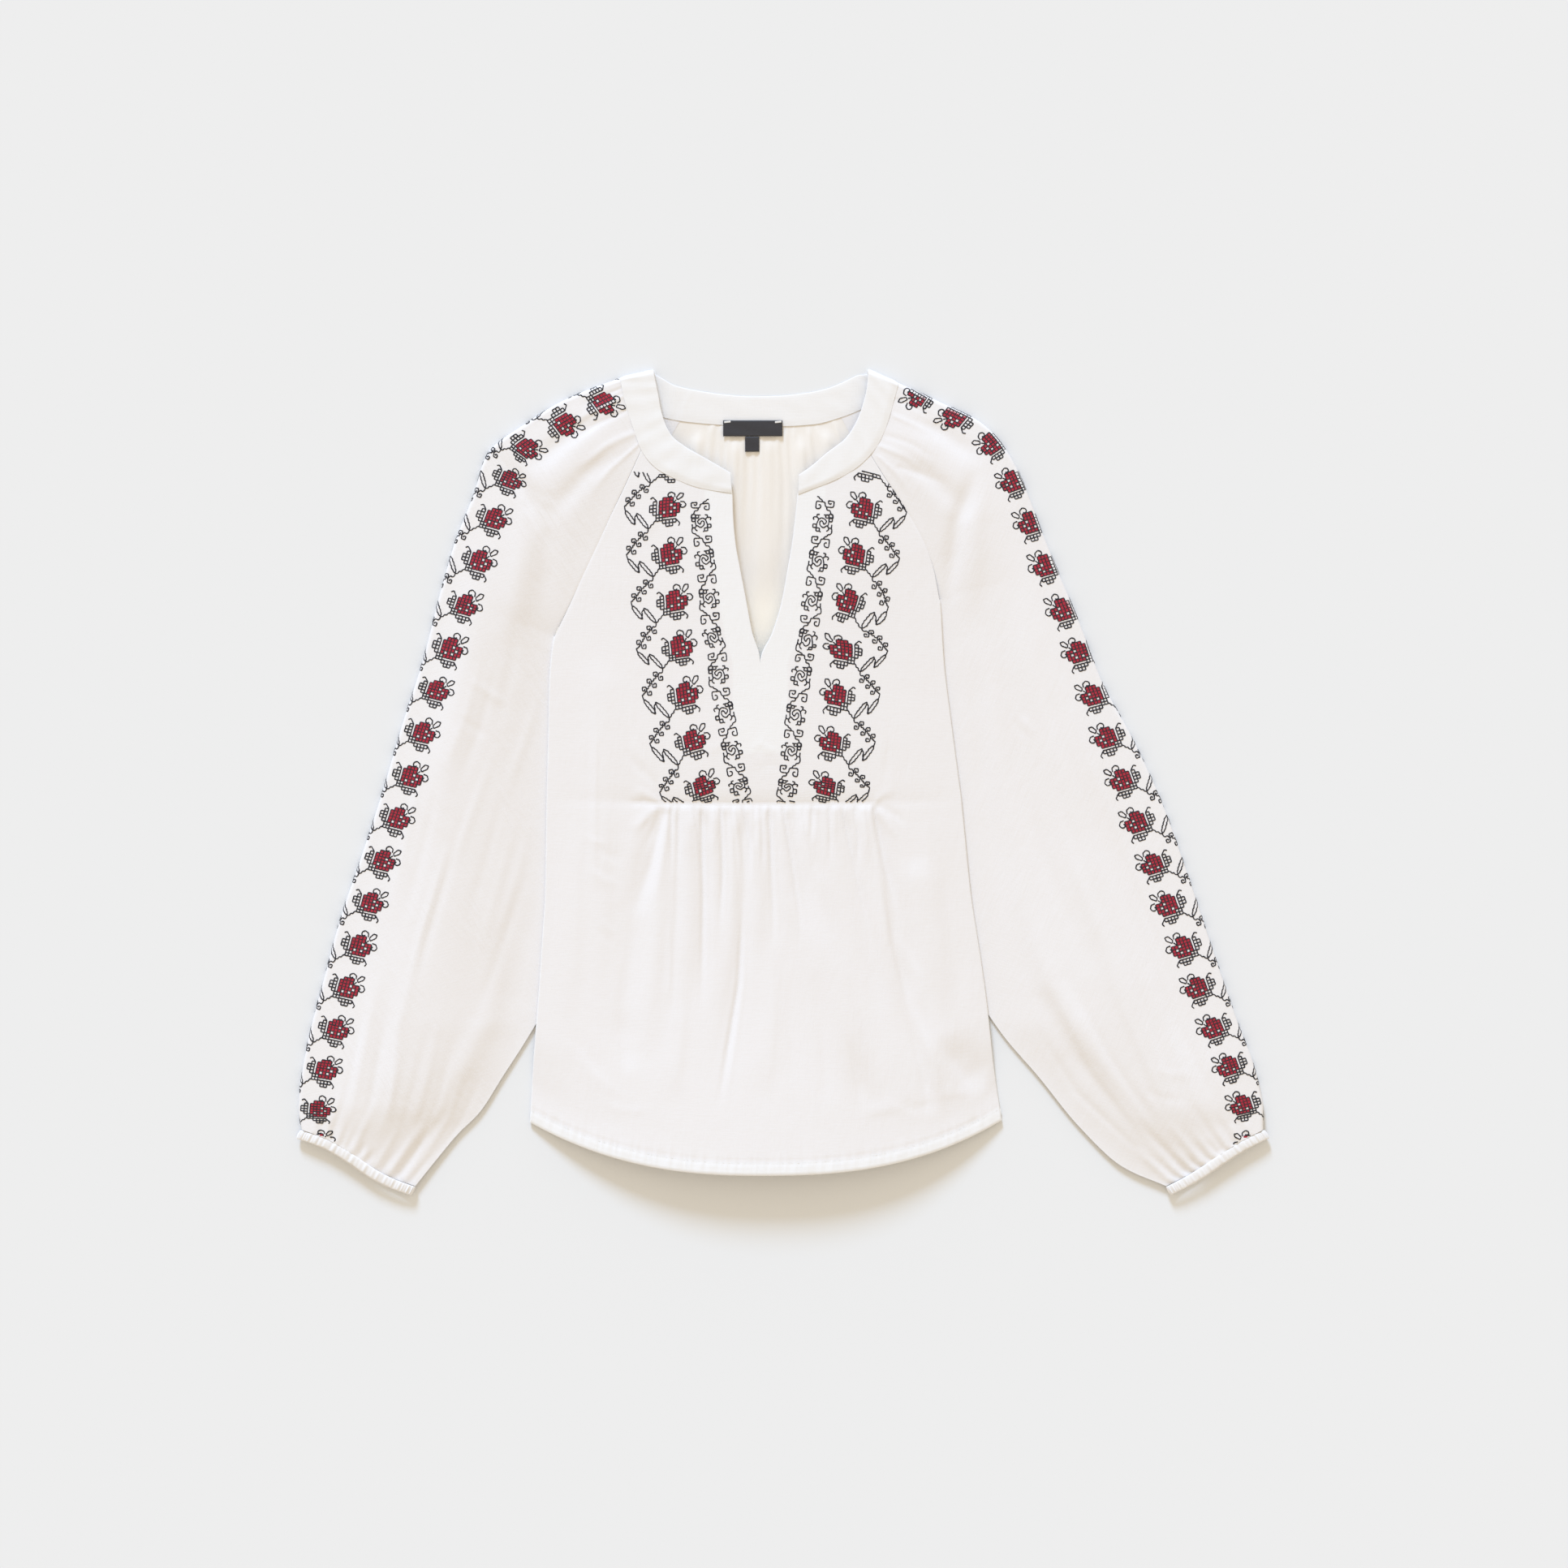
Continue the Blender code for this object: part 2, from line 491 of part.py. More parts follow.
def make_sleeve(name, table, folds, stations, back_edge, material):
    """Raglan sleeve: front layer, outer fold, then the back layer flat on the surface."""
    front_station, turn, back_station = stations
    shift = math.copysign(STATION_GAP, turn[0] - front_station)
    front_station += shift
    back_station -= shift
    steps = [index / 2 for index in range(2 * SHOULDER_ROWS)]
    steps += [float(index) for index in range(SHOULDER_ROWS, len(table))]
    last = len(table) - 1
    rows = []
    for at in steps:
        row = sleeve_row(table, at)
        outer = Vector((row.outer_x, row.outer_y, 0.0))
        inner = Vector((row.inner_x, row.inner_y, 0.0))
        across = inner - outer
        width = across.length
        across.normalize()
        half = (row.fold_height - FLOOR_MIDDLE) / 2
        inner = inner - across * SEAM_INSET
        begin = inner
        back_inner = inner.copy()
        if at < SHOULDER_ROWS:
            back_inner = back_edge(at) - across * SEAM_INSET
        line = []
        for cell in range(SLEEVE_FRONT_CELLS + 1):
            share = cell / SLEEVE_FRONT_CELLS
            point = begin.lerp(outer + across * half, share)
            from_edge = (point - begin).length
            rise = max(0.0, (from_edge - row.tuck) / (width - row.tuck))
            height = row.inner_height + (row.fold_height - row.inner_height) * smoothstep(rise)
            height += row.crown * math.sin(math.pi * rise) ** CROWN_ROUND
            guard = smoothstep(rise / CROWN_FREE_EDGE) * smoothstep((1 - rise) / CROWN_FREE_EDGE)
            guard *= smoothstep((last - at) / WRIST_SETTLE_ROWS + WRIST_SETTLE_LEFT)
            height += guard * fold_height(point.x, point.y, folds)
            line.append(Vector((point.x, point.y, height)))
        for cell in range(1, TURN_CELLS + 1):
            angle = math.pi * cell / TURN_CELLS
            point = outer + across * half * (1 - math.sin(angle))
            line.append(Vector((point.x, point.y, FLOOR_MIDDLE + half * (1 + math.cos(angle)))))
        for cell in range(1, SLEEVE_BACK_CELLS + 1):
            share = cell / SLEEVE_BACK_CELLS
            point = (outer + across * half).lerp(back_inner, share)
            raised = max(0.0, row.inner_height - CLOTH_WALL - LAY_GAP - FLOOR_MIDDLE)
            if at <= SHOULDER_ROWS + BACK_RAISE_AFTER:
                raised = 0.0
            raised *= smoothstep((share - BACK_RAISE_FROM) / (1 - BACK_RAISE_FROM))
            line.append(Vector((point.x, point.y, FLOOR_MIDDLE + raised)))
        rows.append(line)
    # The neck end follows the band's own seam
    first = []
    for cell in range(SLEEVE_FRONT_CELLS + 1):
        share = cell / SLEEVE_FRONT_CELLS
        first.append(neck_seam(front_station + (turn[0] - front_station) * share))
    for cell in range(1, TURN_CELLS + 1):
        share = cell / TURN_CELLS
        first.append(neck_seam(turn[0] + (turn[1] - turn[0]) * share))
    for cell in range(1, SLEEVE_BACK_CELLS + 1):
        share = cell / SLEEVE_BACK_CELLS
        gap = NECK_BACK_GAP if cell < SLEEVE_BACK_CELLS else NECK_SEAM_GAP
        first.append(neck_seam(turn[1] + (back_station - turn[1]) * share, FLOOR_MIDDLE, gap))
    bend = [new - old for new, old in zip(first, rows[0])]
    rows[0] = first
    for index, share in enumerate(SLEEVE_SEAM_BEND, start=1):
        for column in range(1, len(first) - 1):
            rows[index][column] = rows[index][column] + bend[column] * share
    make_sheet(name, rows, CLOTH_WALL, material)
    return rows


def make_casing(name, sleeve_end, material):
    """Elastic casing: a narrow ruched roll of cloth round the sleeve end."""
    front = sleeve_end[0]
    fold = sleeve_end[SLEEVE_FRONT_CELLS + TURN_CELLS // 2]
    inner = Vector((front.x, front.y, 0.0))
    outer = Vector((fold.x, fold.y, 0.0))
    along = (outer - inner).normalized()
    down = Vector((along.y, -along.x, 0.0))
    if down.y > 0:
        down = -down
    middle = (inner + outer) / 2
    reach = (outer - inner).length / 2
    rows = []
    for step in range(2 * CASING_STEPS):
        angle = math.pi * step / CASING_STEPS
        place = middle + along * reach * math.cos(angle)
        rise = math.copysign(abs(math.sin(angle)) ** CASING_FLATNESS, math.sin(angle))
        height = CASING_WALL / 2 + CASING_HALF_HEIGHT * (1 + rise)
        ruche = CASING_RUCHE_HEIGHT * (1 + math.sin(CASING_RUCHES * 2 * angle)) * abs(math.sin(angle))
        if math.sin(angle) > 0:
            height += ruche
        line = []
        for share in (0.0, 0.5, 1.0):
            point = place + down * (CASING_GAP + CASING_DEPTH * share)
            swell = CASING_SWELL * math.sin(math.pi * share) if math.sin(angle) > 0 else 0.0
            line.append(Vector((point.x, point.y, height + swell)))
        rows.append(line)
    make_sheet(name, rows, CASING_WALL, material, ring=True)


def half_columns(gather):
    """Shares of the way from a side edge to the middle, closer where the gathers are."""
    side = [gather * cell / SIDE_CELLS for cell in range(SIDE_CELLS)]
    middle = [gather + (1 - gather) * cell / GATHER_CELLS for cell in range(GATHER_CELLS + 1)]
    return side + middle


def make_front(material):
    """Front with its slit, bib seam and gathers, and the turned hem as a thicker edge."""
    left_shares = half_columns(GATHER_LEFT)
    right_shares = half_columns(1 - GATHER_RIGHT)[::-1]
    rows, walls = [], []
    for index, row in enumerate(SLIT):
        left_edge = Vector((row.left_x + SEAM_INSET, row.left_y, row.edge))
        right_edge = Vector((row.right_x - SEAM_INSET, row.right_y, row.edge))
        line = []
        halves = ((left_edge, row.left, left_shares), (right_edge, row.right, right_shares))
        for edge, slit, shares in halves:
            for share in shares:
                point = edge.lerp(Vector((slit, row.y, row.edge)), share)
                point.z = row.edge + (row.crown - row.edge) * (1 - (1 - share) ** BODY_ROUND)
                line.append(point)
        rows.append(line)
        walls.append(CLOTH_WALL)
    first = [neck_seam((RAGLAN_FRONT_RIGHTHAND - STATION_GAP) * (1 - share)) for share in left_shares]
    round_left = SLIT_LEFTHAND - RAGLAN_FRONT_LEFTHAND - STATION_GAP
    begin_left = RAGLAN_FRONT_LEFTHAND + STATION_GAP
    first += [neck_seam(begin_left + round_left * share) for share in right_shares]
    bend = [new - old for new, old in zip(first, rows[0])]
    rows[0] = first
    for column in range(1, len(first) - 1):
        if column not in (len(left_shares) - 1, len(left_shares)):
            for index, share in enumerate(FRONT_SEAM_BEND, start=1):
                rows[index][column] = rows[index][column] + bend[column] * share
    for row in FRONT:
        middle_x = SLIT[-1].left
        line = []
        halves = (
            ("left", row.left_y, HEM_CURVE_LEFT, left_shares),
            ("right", row.right_y, HEM_CURVE_RIGHT, right_shares),
        )
        for hand, side_y, curve, shares in halves:
            for share in shares:
                x = side_x(side_y, hand)
                x += (middle_x - x) * share
                y = side_y + (row.middle_y - side_y) * (1 - (1 - share) ** curve)
                z = row.edge + (row.crown - row.edge) * (1 - (1 - share) ** BODY_ROUND)
                guard = smoothstep(share / FOLD_FREE_SIDE)
                line.append(Vector((x, y, z + guard * fold_height(x, y, FRONT_FOLDS))))
        rows.append(line)
        walls.append(row.wall)
    slit_column = len(left_shares) - 1
    make_sheet("front", rows, HEM_WALL, material, walls, gap_rows=SLIT_ROWS, gap_column=slit_column)


def back_raglan(hand):
    """Back raglan seam, straight from the neckband to the underarm."""
    station = RAGLAN_BACK_RIGHTHAND if hand == "left" else RAGLAN_BACK_LEFTHAND
    row = SLIT[-1]
    neck = neck_seam(station, 0.0)
    underarm = Vector((getattr(row, hand + "_x"), getattr(row, hand + "_y"), 0.0))
    return lambda at: neck.lerp(underarm, at / SHOULDER_ROWS)


def make_back(material):
    """Back panel, flat on the surface but for its neck gathers and its sides over the sleeves."""
    edges = {hand: back_raglan(hand) for hand in ("left", "right")}
    rows, walls = [], []
    count = BACK_CELLS
    for index in range(SHOULDER_ROWS + 1):
        inset = Vector((SEAM_INSET + (BACK_INSET if index == SHOULDER_ROWS else 0.0), 0.0, 0.0))
        left = edges["left"](index) + inset
        right = edges["right"](index) - inset
        line = []
        for cell in range(count + 1):
            share = cell / count
            point = left.lerp(right, share)
            if index == 0:
                round_back = RAGLAN_BACK_LEFTHAND - RAGLAN_BACK_RIGHTHAND - 2 * STATION_GAP
                point = neck_seam(RAGLAN_BACK_RIGHTHAND + STATION_GAP + round_back * share, 0.0)
            line.append(point)
        rows.append(line)
        walls.append(CLOTH_WALL)
    for row in BACK:
        left = side_x(row.side_y, "left") + BACK_INSET
        right = side_x(row.side_y, "right") - BACK_INSET
        line = []
        for cell in range(count + 1):
            share = cell / count
            y = row.side_y + (row.middle_y - row.side_y) * (1 - abs(2 * share - 1) ** HEM_CURVE_LEFT)
            line.append(Vector((left + (right - left) * share, y, 0.0)))
        rows.append(line)
        walls.append(row.wall)
    for line, wall in zip(rows, walls):
        for point in line:
            point.z = wall / 2 + tuck_lift(point.x, point.y)
            point.z += max(0.0, fold_height(point.x, point.y, BACK_FOLDS))
    make_sheet("back", rows, HEM_WALL, material, walls=walls)


def make_flat_piece(name, x, y, wide, deep, height, wall, material):
    """Small flat woven piece with softened edges, its underside at a height."""
    mesh = bpy.data.meshes.new(name)
    build = bmesh.new()
    bmesh.ops.create_cube(build, size=1.0)
    bmesh.ops.scale(build, vec=Vector((wide, deep, wall)) * MM, verts=build.verts)
    bmesh.ops.translate(build, vec=Vector((x, y, height + wall / 2)) * MM, verts=build.verts)
    build.to_mesh(mesh)
    build.free()
    body = bpy.data.objects.new(name, mesh)
    soften = body.modifiers.new("woven edge", "BEVEL")
    soften.width = WOVEN_EDGE * MM
    soften.segments = 1
    mesh.materials.append(material)
    blouse.objects.link(body)


def centre_on_origin():
    """Puts the underside on zero and the middle of the laid blouse over the origin."""
    bpy.context.view_layer.update()
    graph = bpy.context.evaluated_depsgraph_get()
    corners = []
    for body in blouse.objects:
        shape = body.evaluated_get(graph)
        corners += [vertex.co.copy() for vertex in shape.data.vertices]
    lows = [min(corner[axis] for corner in corners) for axis in range(3)]
    highs = [max(corner[axis] for corner in corners) for axis in range(3)]
    shift = Vector((-(lows[0] + highs[0]) / 2, -(lows[1] + highs[1]) / 2, -lows[2]))
    for body in blouse.objects:
        for vertex in body.data.vertices:
            vertex.co += shift


for old in list(bpy.data.objects):
    bpy.data.objects.remove(old, do_unlink=True)

blouse = bpy.data.collections.new("embroidered blouse")
bpy.context.scene.collection.children.link(blouse)

panel_cotton = make_material("pale cotton voile", PALE_COTTON, 0.85)
band_cotton = make_material("doubled cotton", BAND_COTTON, 0.8)
label_satin = make_material("black label satin", LABEL_BLACK, 0.5)

make_back(panel_cotton)
make_front(panel_cotton)
sleeves = (
    ("righthand", SLEEVE_RIGHTHAND, SLEEVE_FOLDS_RIGHTHAND, "left",
     (RAGLAN_FRONT_RIGHTHAND, TURN_RIGHTHAND, RAGLAN_BACK_RIGHTHAND)),
    ("lefthand", SLEEVE_LEFTHAND, SLEEVE_FOLDS_LEFTHAND, "right",
     (RAGLAN_FRONT_LEFTHAND, TURN_LEFTHAND[::-1], RAGLAN_BACK_LEFTHAND)),
)
for hand, table, folds, side, stations in sleeves:
    ends = make_sleeve("sleeve_" + hand, table, folds, stations, back_raglan(side), panel_cotton)
    make_casing("casing_" + hand, ends[-1], band_cotton)
make_neckband(band_cotton)
make_flat_piece("label", LABEL_X, LABEL_Y, LABEL_WIDE, LABEL_DEEP, LABEL_HEIGHT, LABEL_WALL, label_satin)
TAB_Y = LABEL_Y - LABEL_DEEP / 2 - SEAM_GAP - TAB_DEEP / 2
make_flat_piece("size_tab", TAB_X, TAB_Y, TAB_WIDE, TAB_DEEP, TAB_HEIGHT, LABEL_WALL, label_satin)
centre_on_origin()
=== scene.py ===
import math
from collections import namedtuple

import bmesh
import bpy
import numpy as np
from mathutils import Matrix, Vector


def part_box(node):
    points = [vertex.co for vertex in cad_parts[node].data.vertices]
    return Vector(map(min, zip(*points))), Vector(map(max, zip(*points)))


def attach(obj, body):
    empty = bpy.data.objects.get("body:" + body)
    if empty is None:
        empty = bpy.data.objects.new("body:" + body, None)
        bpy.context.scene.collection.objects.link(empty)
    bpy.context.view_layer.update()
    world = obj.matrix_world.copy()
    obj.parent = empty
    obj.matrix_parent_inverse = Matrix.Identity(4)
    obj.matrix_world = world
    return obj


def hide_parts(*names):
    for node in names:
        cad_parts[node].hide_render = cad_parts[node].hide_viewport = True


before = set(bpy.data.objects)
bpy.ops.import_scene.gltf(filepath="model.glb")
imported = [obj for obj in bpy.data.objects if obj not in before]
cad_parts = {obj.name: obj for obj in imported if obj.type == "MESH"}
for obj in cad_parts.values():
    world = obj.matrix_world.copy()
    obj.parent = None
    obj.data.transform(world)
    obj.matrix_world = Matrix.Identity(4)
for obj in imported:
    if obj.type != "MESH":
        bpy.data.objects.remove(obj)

# The blouse lies flat on its back with the neck to +Y and the wearer's right sleeve to -X.
# Places below are millimetres from the middle of the laid garment. The woven label, whose place
# is known both ways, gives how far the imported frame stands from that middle.
MM = 0.001
LABEL_X, LABEL_Y = -25.5, 302.5
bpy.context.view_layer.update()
label_low, label_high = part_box("label")
MOVED = np.array([
    (label_low[0] + label_high[0]) / 2 / MM - LABEL_X,
    (label_low[1] + label_high[1]) / 2 / MM - LABEL_Y,
    0.0,
])


# The back: one panel of cotton voile cut on the straight grain, gathered to the neckband and flat
# on the surface below. The sleeves tucked under the body's sides lift its edges. It is sewn to the
# sleeves at the raglan seams and has a narrow turned hem of its own, just behind the front's.

# The neck seam, to which all four panels are gathered. It runs from the slit on the wearer's
# right, over that shoulder, across the back and over the other shoulder to the slit again.
NeckRow = namedtuple("NeckRow", "seam_x seam_y free_x free_y height")
NECK = np.array([
    NeckRow(-43, 247, -44.5, 264, 8.4),
    NeckRow(-68.5, 251, -64, 275, 8.2),
    NeckRow(-94, 260.5, -82.5, 285.5, 7.8),
    NeckRow(-109.5, 270, -94, 294.5, 7.4),
    NeckRow(-120.5, 284.5, -100.5, 306, 7),
    NeckRow(-125, 296.5, -104, 317.5, 6.8),
    NeckRow(-131.5, 316.5, -106.5, 331, 6.6),
    NeckRow(-135.5, 331, -108.5, 340.5, 6.5),
    NeckRow(-137.5, 342, -110, 348.5, 6.4),
    NeckRow(-138.3, 345.5, -110.5, 351.5, 3.6),
    NeckRow(-137.5, 342, -109.5, 348.5, 0.8),
    NeckRow(-131.5, 331, -103, 344.5, 0.8),
    NeckRow(-116.5, 318.5, -93.5, 339, 0.8),
    NeckRow(-99.5, 311.5, -79, 335, 0.8),
    NeckRow(-87.5, 309, -70.5, 333.5, 0.8),
    NeckRow(-58.5, 306, -49.5, 330.5, 0.8),
    NeckRow(-29.5, 304.5, -27.5, 329, 0.8),
    NeckRow(-0.5, 304.5, -4.5, 329.5, 0.8),
    NeckRow(26, 306, 17.5, 331.5, 0.8),
    NeckRow(49.5, 312, 37, 335.5, 0.8),
    NeckRow(66, 318.5, 53.5, 342, 0.8),
    NeckRow(82.5, 327.5, 64, 347, 0.8),
    NeckRow(97.5, 337.5, 72, 348.5, 0.8),
    NeckRow(98.3, 341, 73, 352, 3.6),
    NeckRow(97.5, 337.5, 73, 348, 6.4),
    NeckRow(94, 324.5, 72, 337, 6.5),
    NeckRow(90, 310, 68.5, 322, 6.6),
    NeckRow(82.5, 291.5, 62, 305.5, 6.8),
    NeckRow(75, 280.5, 53.5, 293, 7),
    NeckRow(63, 269, 39.5, 282, 7.4),
    NeckRow(45, 258.5, 24.5, 269.5, 7.8),
    NeckRow(13, 246, 13.5, 262, 8.4),
])
RAGLAN_FRONT = {"righthand": 4, "lefthand": 28}
RAGLAN_BACK = {"righthand": 14, "lefthand": 19}
SHOULDER_TURN = {"righthand": (8, 10), "lefthand": (24, 22)}
SLIT_PLACE = {"righthand": 0, "lefthand": 31}


def smooth(value):
    """Soft step from 0 to 1."""
    value = np.clip(value, 0.0, 1.0)
    return value * value * (3 - 2 * value)


def curve_through(values, at):
    """Smooth values along the first axis at fractional places, never overshooting the rows."""
    values = np.asarray(values, float)
    at = np.clip(np.atleast_1d(np.asarray(at, float)), 0, len(values) - 1)
    steps = np.diff(values, axis=0)
    slopes = np.zeros_like(values)
    before, after = steps[:-1], steps[1:]
    rising = before * after > 0
    slopes[1:-1] = np.where(rising, 2 * before * after / np.where(rising, before + after, 1.0), 0.0)
    slopes[0], slopes[-1] = steps[0], steps[-1]
    low = np.minimum(at.astype(int), len(values) - 2)
    part = (at - low).reshape((-1,) + (1,) * (values.ndim - 1))
    rise = part * part * (3 - 2 * part)
    leave = part * (1 - part) ** 2
    arrive = -part * part * (1 - part)
    return values[low] + steps[low] * rise + slopes[low] * leave + slopes[low + 1] * arrive


def neck_seam(places, height=None, tuck_in=0.0):
    """Points of the neck seam, moved a little under the band."""
    rows = curve_through(NECK, places)
    seam, free = rows[:, 0:2], rows[:, 2:4]
    inward = (free - seam) / np.linalg.norm(free - seam, axis=1)[:, None]
    heights = rows[:, 4] if height is None else np.full(len(rows), height)
    return np.column_stack([seam + inward * tuck_in, heights])


SHOULDER_ROWS = 6
BACK_ROW_STEP = 4.0
BACK_COLUMNS = 110
CLOTH_MIDDLE = 0.6
UNDER_BAND = 1.4
TUCK_LIFT = 3.1
TUCK_COVER, TUCK_FALL = 46.0, 36.0
TUCK_TOP, TUCK_TOP_FADE = 8.0, 50.0
TUCK_FOOT, TUCK_FOOT_FADE = -216.0, 44.0
BACK_HEM_CURVE = 2.4
UNDERARM = {"righthand": (-193.5, 126.0), "lefthand": (133.0, 156.5)}
SideRow = namedtuple("SideRow", "y righthand lefthand")
SIDES = [
    SideRow(160, -198, 132.8),
    SideRow(126, -193.5, 134.5),
    SideRow(94, -197.5, 137),
    SideRow(25, -199, 146),
    SideRow(-13, -200, 151),
    SideRow(-90, -201, 158.5),
    SideRow(-175, -206.5, 171.5),
    SideRow(-244, -212, 179),
    SideRow(-287, -214.3, 185.5),
]
BackRow = namedtuple("BackRow", "side_y middle_y")
BACK = [
    BackRow(88, 64),
    BackRow(44, 22),
    BackRow(4, -20),
    BackRow(-36, -64),
    BackRow(-76, -108),
    BackRow(-116, -152),
    BackRow(-156, -196),
    BackRow(-196, -240),
    BackRow(-230, -278),
    BackRow(-258, -306),
    BackRow(-272.2, -315),
    BackRow(-284, -327.2),
]
Fold = namedtuple("Fold", "x1 y1 x2 y2 x3 y3 height width spread")
BACK_FOLDS = [
    Fold(-72, 300, -74, 270, -80, 200, 2, 5, 8),
    Fold(-40, 299, -42, 250, -46, 130, 2.4, 5, 8),
    Fold(-12, 299, -12, 250, -14, 150, 1.8, 6, 9),
    Fold(15, 299, 17, 250, 14, 120, 2.4, 5, 8),
    Fold(36, 303, 40, 270, 46, 200, 2, 5, 8),
]
# Small gathers between the folds, seen through the neck
BACK_CREASES = [
    Fold(-60, 305, -62, 285, -66, 245, 0.9, 2, 4),
    Fold(-52, 305, -53, 280, -57, 235, 0.8, 1.8, 4),
    Fold(-46, 304, -48, 270, -50, 205, 1, 1.8, 3.5),
    Fold(-33, 304, -34, 262, -37, 180, 0.9, 1.8, 4),
    Fold(-26, 303, -25, 270, -27, 190, 0.8, 1.8, 4),
    Fold(-19, 303, -18, 250, -22, 150, 1, 2, 4),
    Fold(-5, 303, -3, 260, -5, 170, 0.8, 1.8, 4),
    Fold(2, 303, 5, 255, 4, 150, 1, 1.8, 3.5),
    Fold(9, 303, 11, 272, 10, 210, 0.8, 1.8, 3.5),
    Fold(22, 304, 26, 262, 28, 180, 1, 1.8, 4),
    Fold(29, 305, 34, 280, 38, 225, 0.8, 1.8, 3.5),
    Fold(44, 308, 49, 290, 56, 250, 0.9, 1.8, 3.5),
]
FOLD_START, FOLD_END = 0.10, 0.35
CREASE_START, CREASE_END = 0.04, 0.5
# Sizes of the cloth's surface: crossed threads, thicker threads both ways, rumples and crinkles
WEAVE_SIZE, THREAD_RISE = 1.1, 0.10
WEFT_SLUB_SIZE, WARP_SLUB_SIZE = 2.6, 3.4
RUMPLE_SIZE, FINE_RUMPLE_SIZE, FINE_RUMPLE_SHARE = 26.0, 7.0, 0.25
CRINKLE_SIZE, CRINKLED_PATCH_SIZE = 4.2, 60.0
COTTON_BUMP, COTTON_BUMP_DEEP = 0.55, 0.9
CRINKLED_FROM, CRINKLED_TO, CRINKLE_LEAST = 0.42, 0.62, 0.25
LOW_WEAVE, HIGH_WEAVE = 0.6, 1.4
PALE_COTTON = (0.828, 0.797, 0.785, 1.0)
DOUBLED_COTTON = (0.850, 0.832, 0.820, 1.0)
# Painted warm light: the back's voile is tinted warmer than the front's, for warm light in the shade
# seen through the neck and the slit
BACK_PAINTED_WARM_LIGHT_COTTON = (0.856, 0.808, 0.752, 1.0)
# Painted light: the back is coloured paler from a little above the foot of the slit downwards, for the
# light that the voile lets through to the cloth behind the foot of the slit
SLIT_PAINTED_LIGHT_COTTON = (0.985, 0.920, 0.812, 1.0)
SLIT_PAINTED_LIGHT_FROM, SLIT_PAINTED_LIGHT_FADE = 185.0, 50.0
COTTON_HOLLOW = 0.03


def row_places(coarse, step):
    """Fractional places that cut the rows into even steps of cloth."""
    middle = coarse[:, coarse.shape[1] // 2, :]
    lengths = np.linalg.norm(np.diff(middle, axis=0), axis=1)
    places = []
    for index, length in enumerate(lengths):
        count = max(1, round(length / step))
        places += [index + part / count for part in range(count)]
    return np.array(places + [len(lengths)])


def side_x(y, hand):
    """How far out the laid body reaches at a height on its side."""
    heights = [row.y for row in SIDES[::-1]]
    return np.interp(y, heights, [getattr(row, hand) for row in SIDES[::-1]])


def fold_height(x, y, folds, start=FOLD_START, end=FOLD_END, lean=1.0):
    """Height that soft ridges and troughs add to the cloth; lean widens the flanks that face left."""
    total = np.zeros_like(x)
    for fold in folds:
        points = [(fold.x1, fold.y1), (fold.x2, fold.y2), (fold.x3, fold.y3)]
        lengths = [math.dist(points[0], points[1]), math.dist(points[1], points[2])]
        away = np.full_like(x, np.inf)
        along = np.zeros_like(x)
        lit = np.zeros_like(x)
        passed = 0.0
        for (ax, ay), (bx, by), length in zip(points, points[1:], lengths):
            part = np.clip(((x - ax) * (bx - ax) + (y - ay) * (by - ay)) / length ** 2, 0.0, 1.0)
            distance = np.hypot(x - ax - (bx - ax) * part, y - ay - (by - ay) * part)
            nearer = distance < away
            away = np.where(nearer, distance, away)
            along = np.where(nearer, (passed + part * length) / sum(lengths), along)
            beside = (bx - ax) * (y - ay) - (by - ay) * (x - ax)
            lit = np.where(nearer, beside * (ay - by) * (1 if fold.height < 0 else -1), lit)
            passed += length
        width = fold.width + (fold.spread - fold.width) * along
        width = width * np.where(lit > 0, lean, 1.0)
        fade = smooth(along / start) * smooth((1 - along) / end)
        total += fold.height * fade * np.exp(-(away / width) ** 2)
    return total


def tuck_lift(x, y):
    """How high the back is held by the sleeves tucked under its sides."""
    shares = []
    insides = {"righthand": x - side_x(y, "righthand"), "lefthand": side_x(y, "lefthand") - x}
    for hand, inside in insides.items():
        across = 1 - smooth((inside - TUCK_COVER) / TUCK_FALL)
        top = 1 - smooth((y - UNDERARM[hand][1] - TUCK_TOP) / TUCK_TOP_FADE)
        shares.append(across * top)
    foot = 1 - smooth((TUCK_FOOT - y) / TUCK_FOOT_FADE)
    return TUCK_LIFT * np.maximum(*shares) * foot


def back_raglan(hand, shares):
    """The back raglan seam, straight from the neckband to the underarm."""
    neck = neck_seam([RAGLAN_BACK[hand]])[0, :2]
    return neck + (np.array(UNDERARM[hand]) - neck) * np.asarray(shares)[:, None]


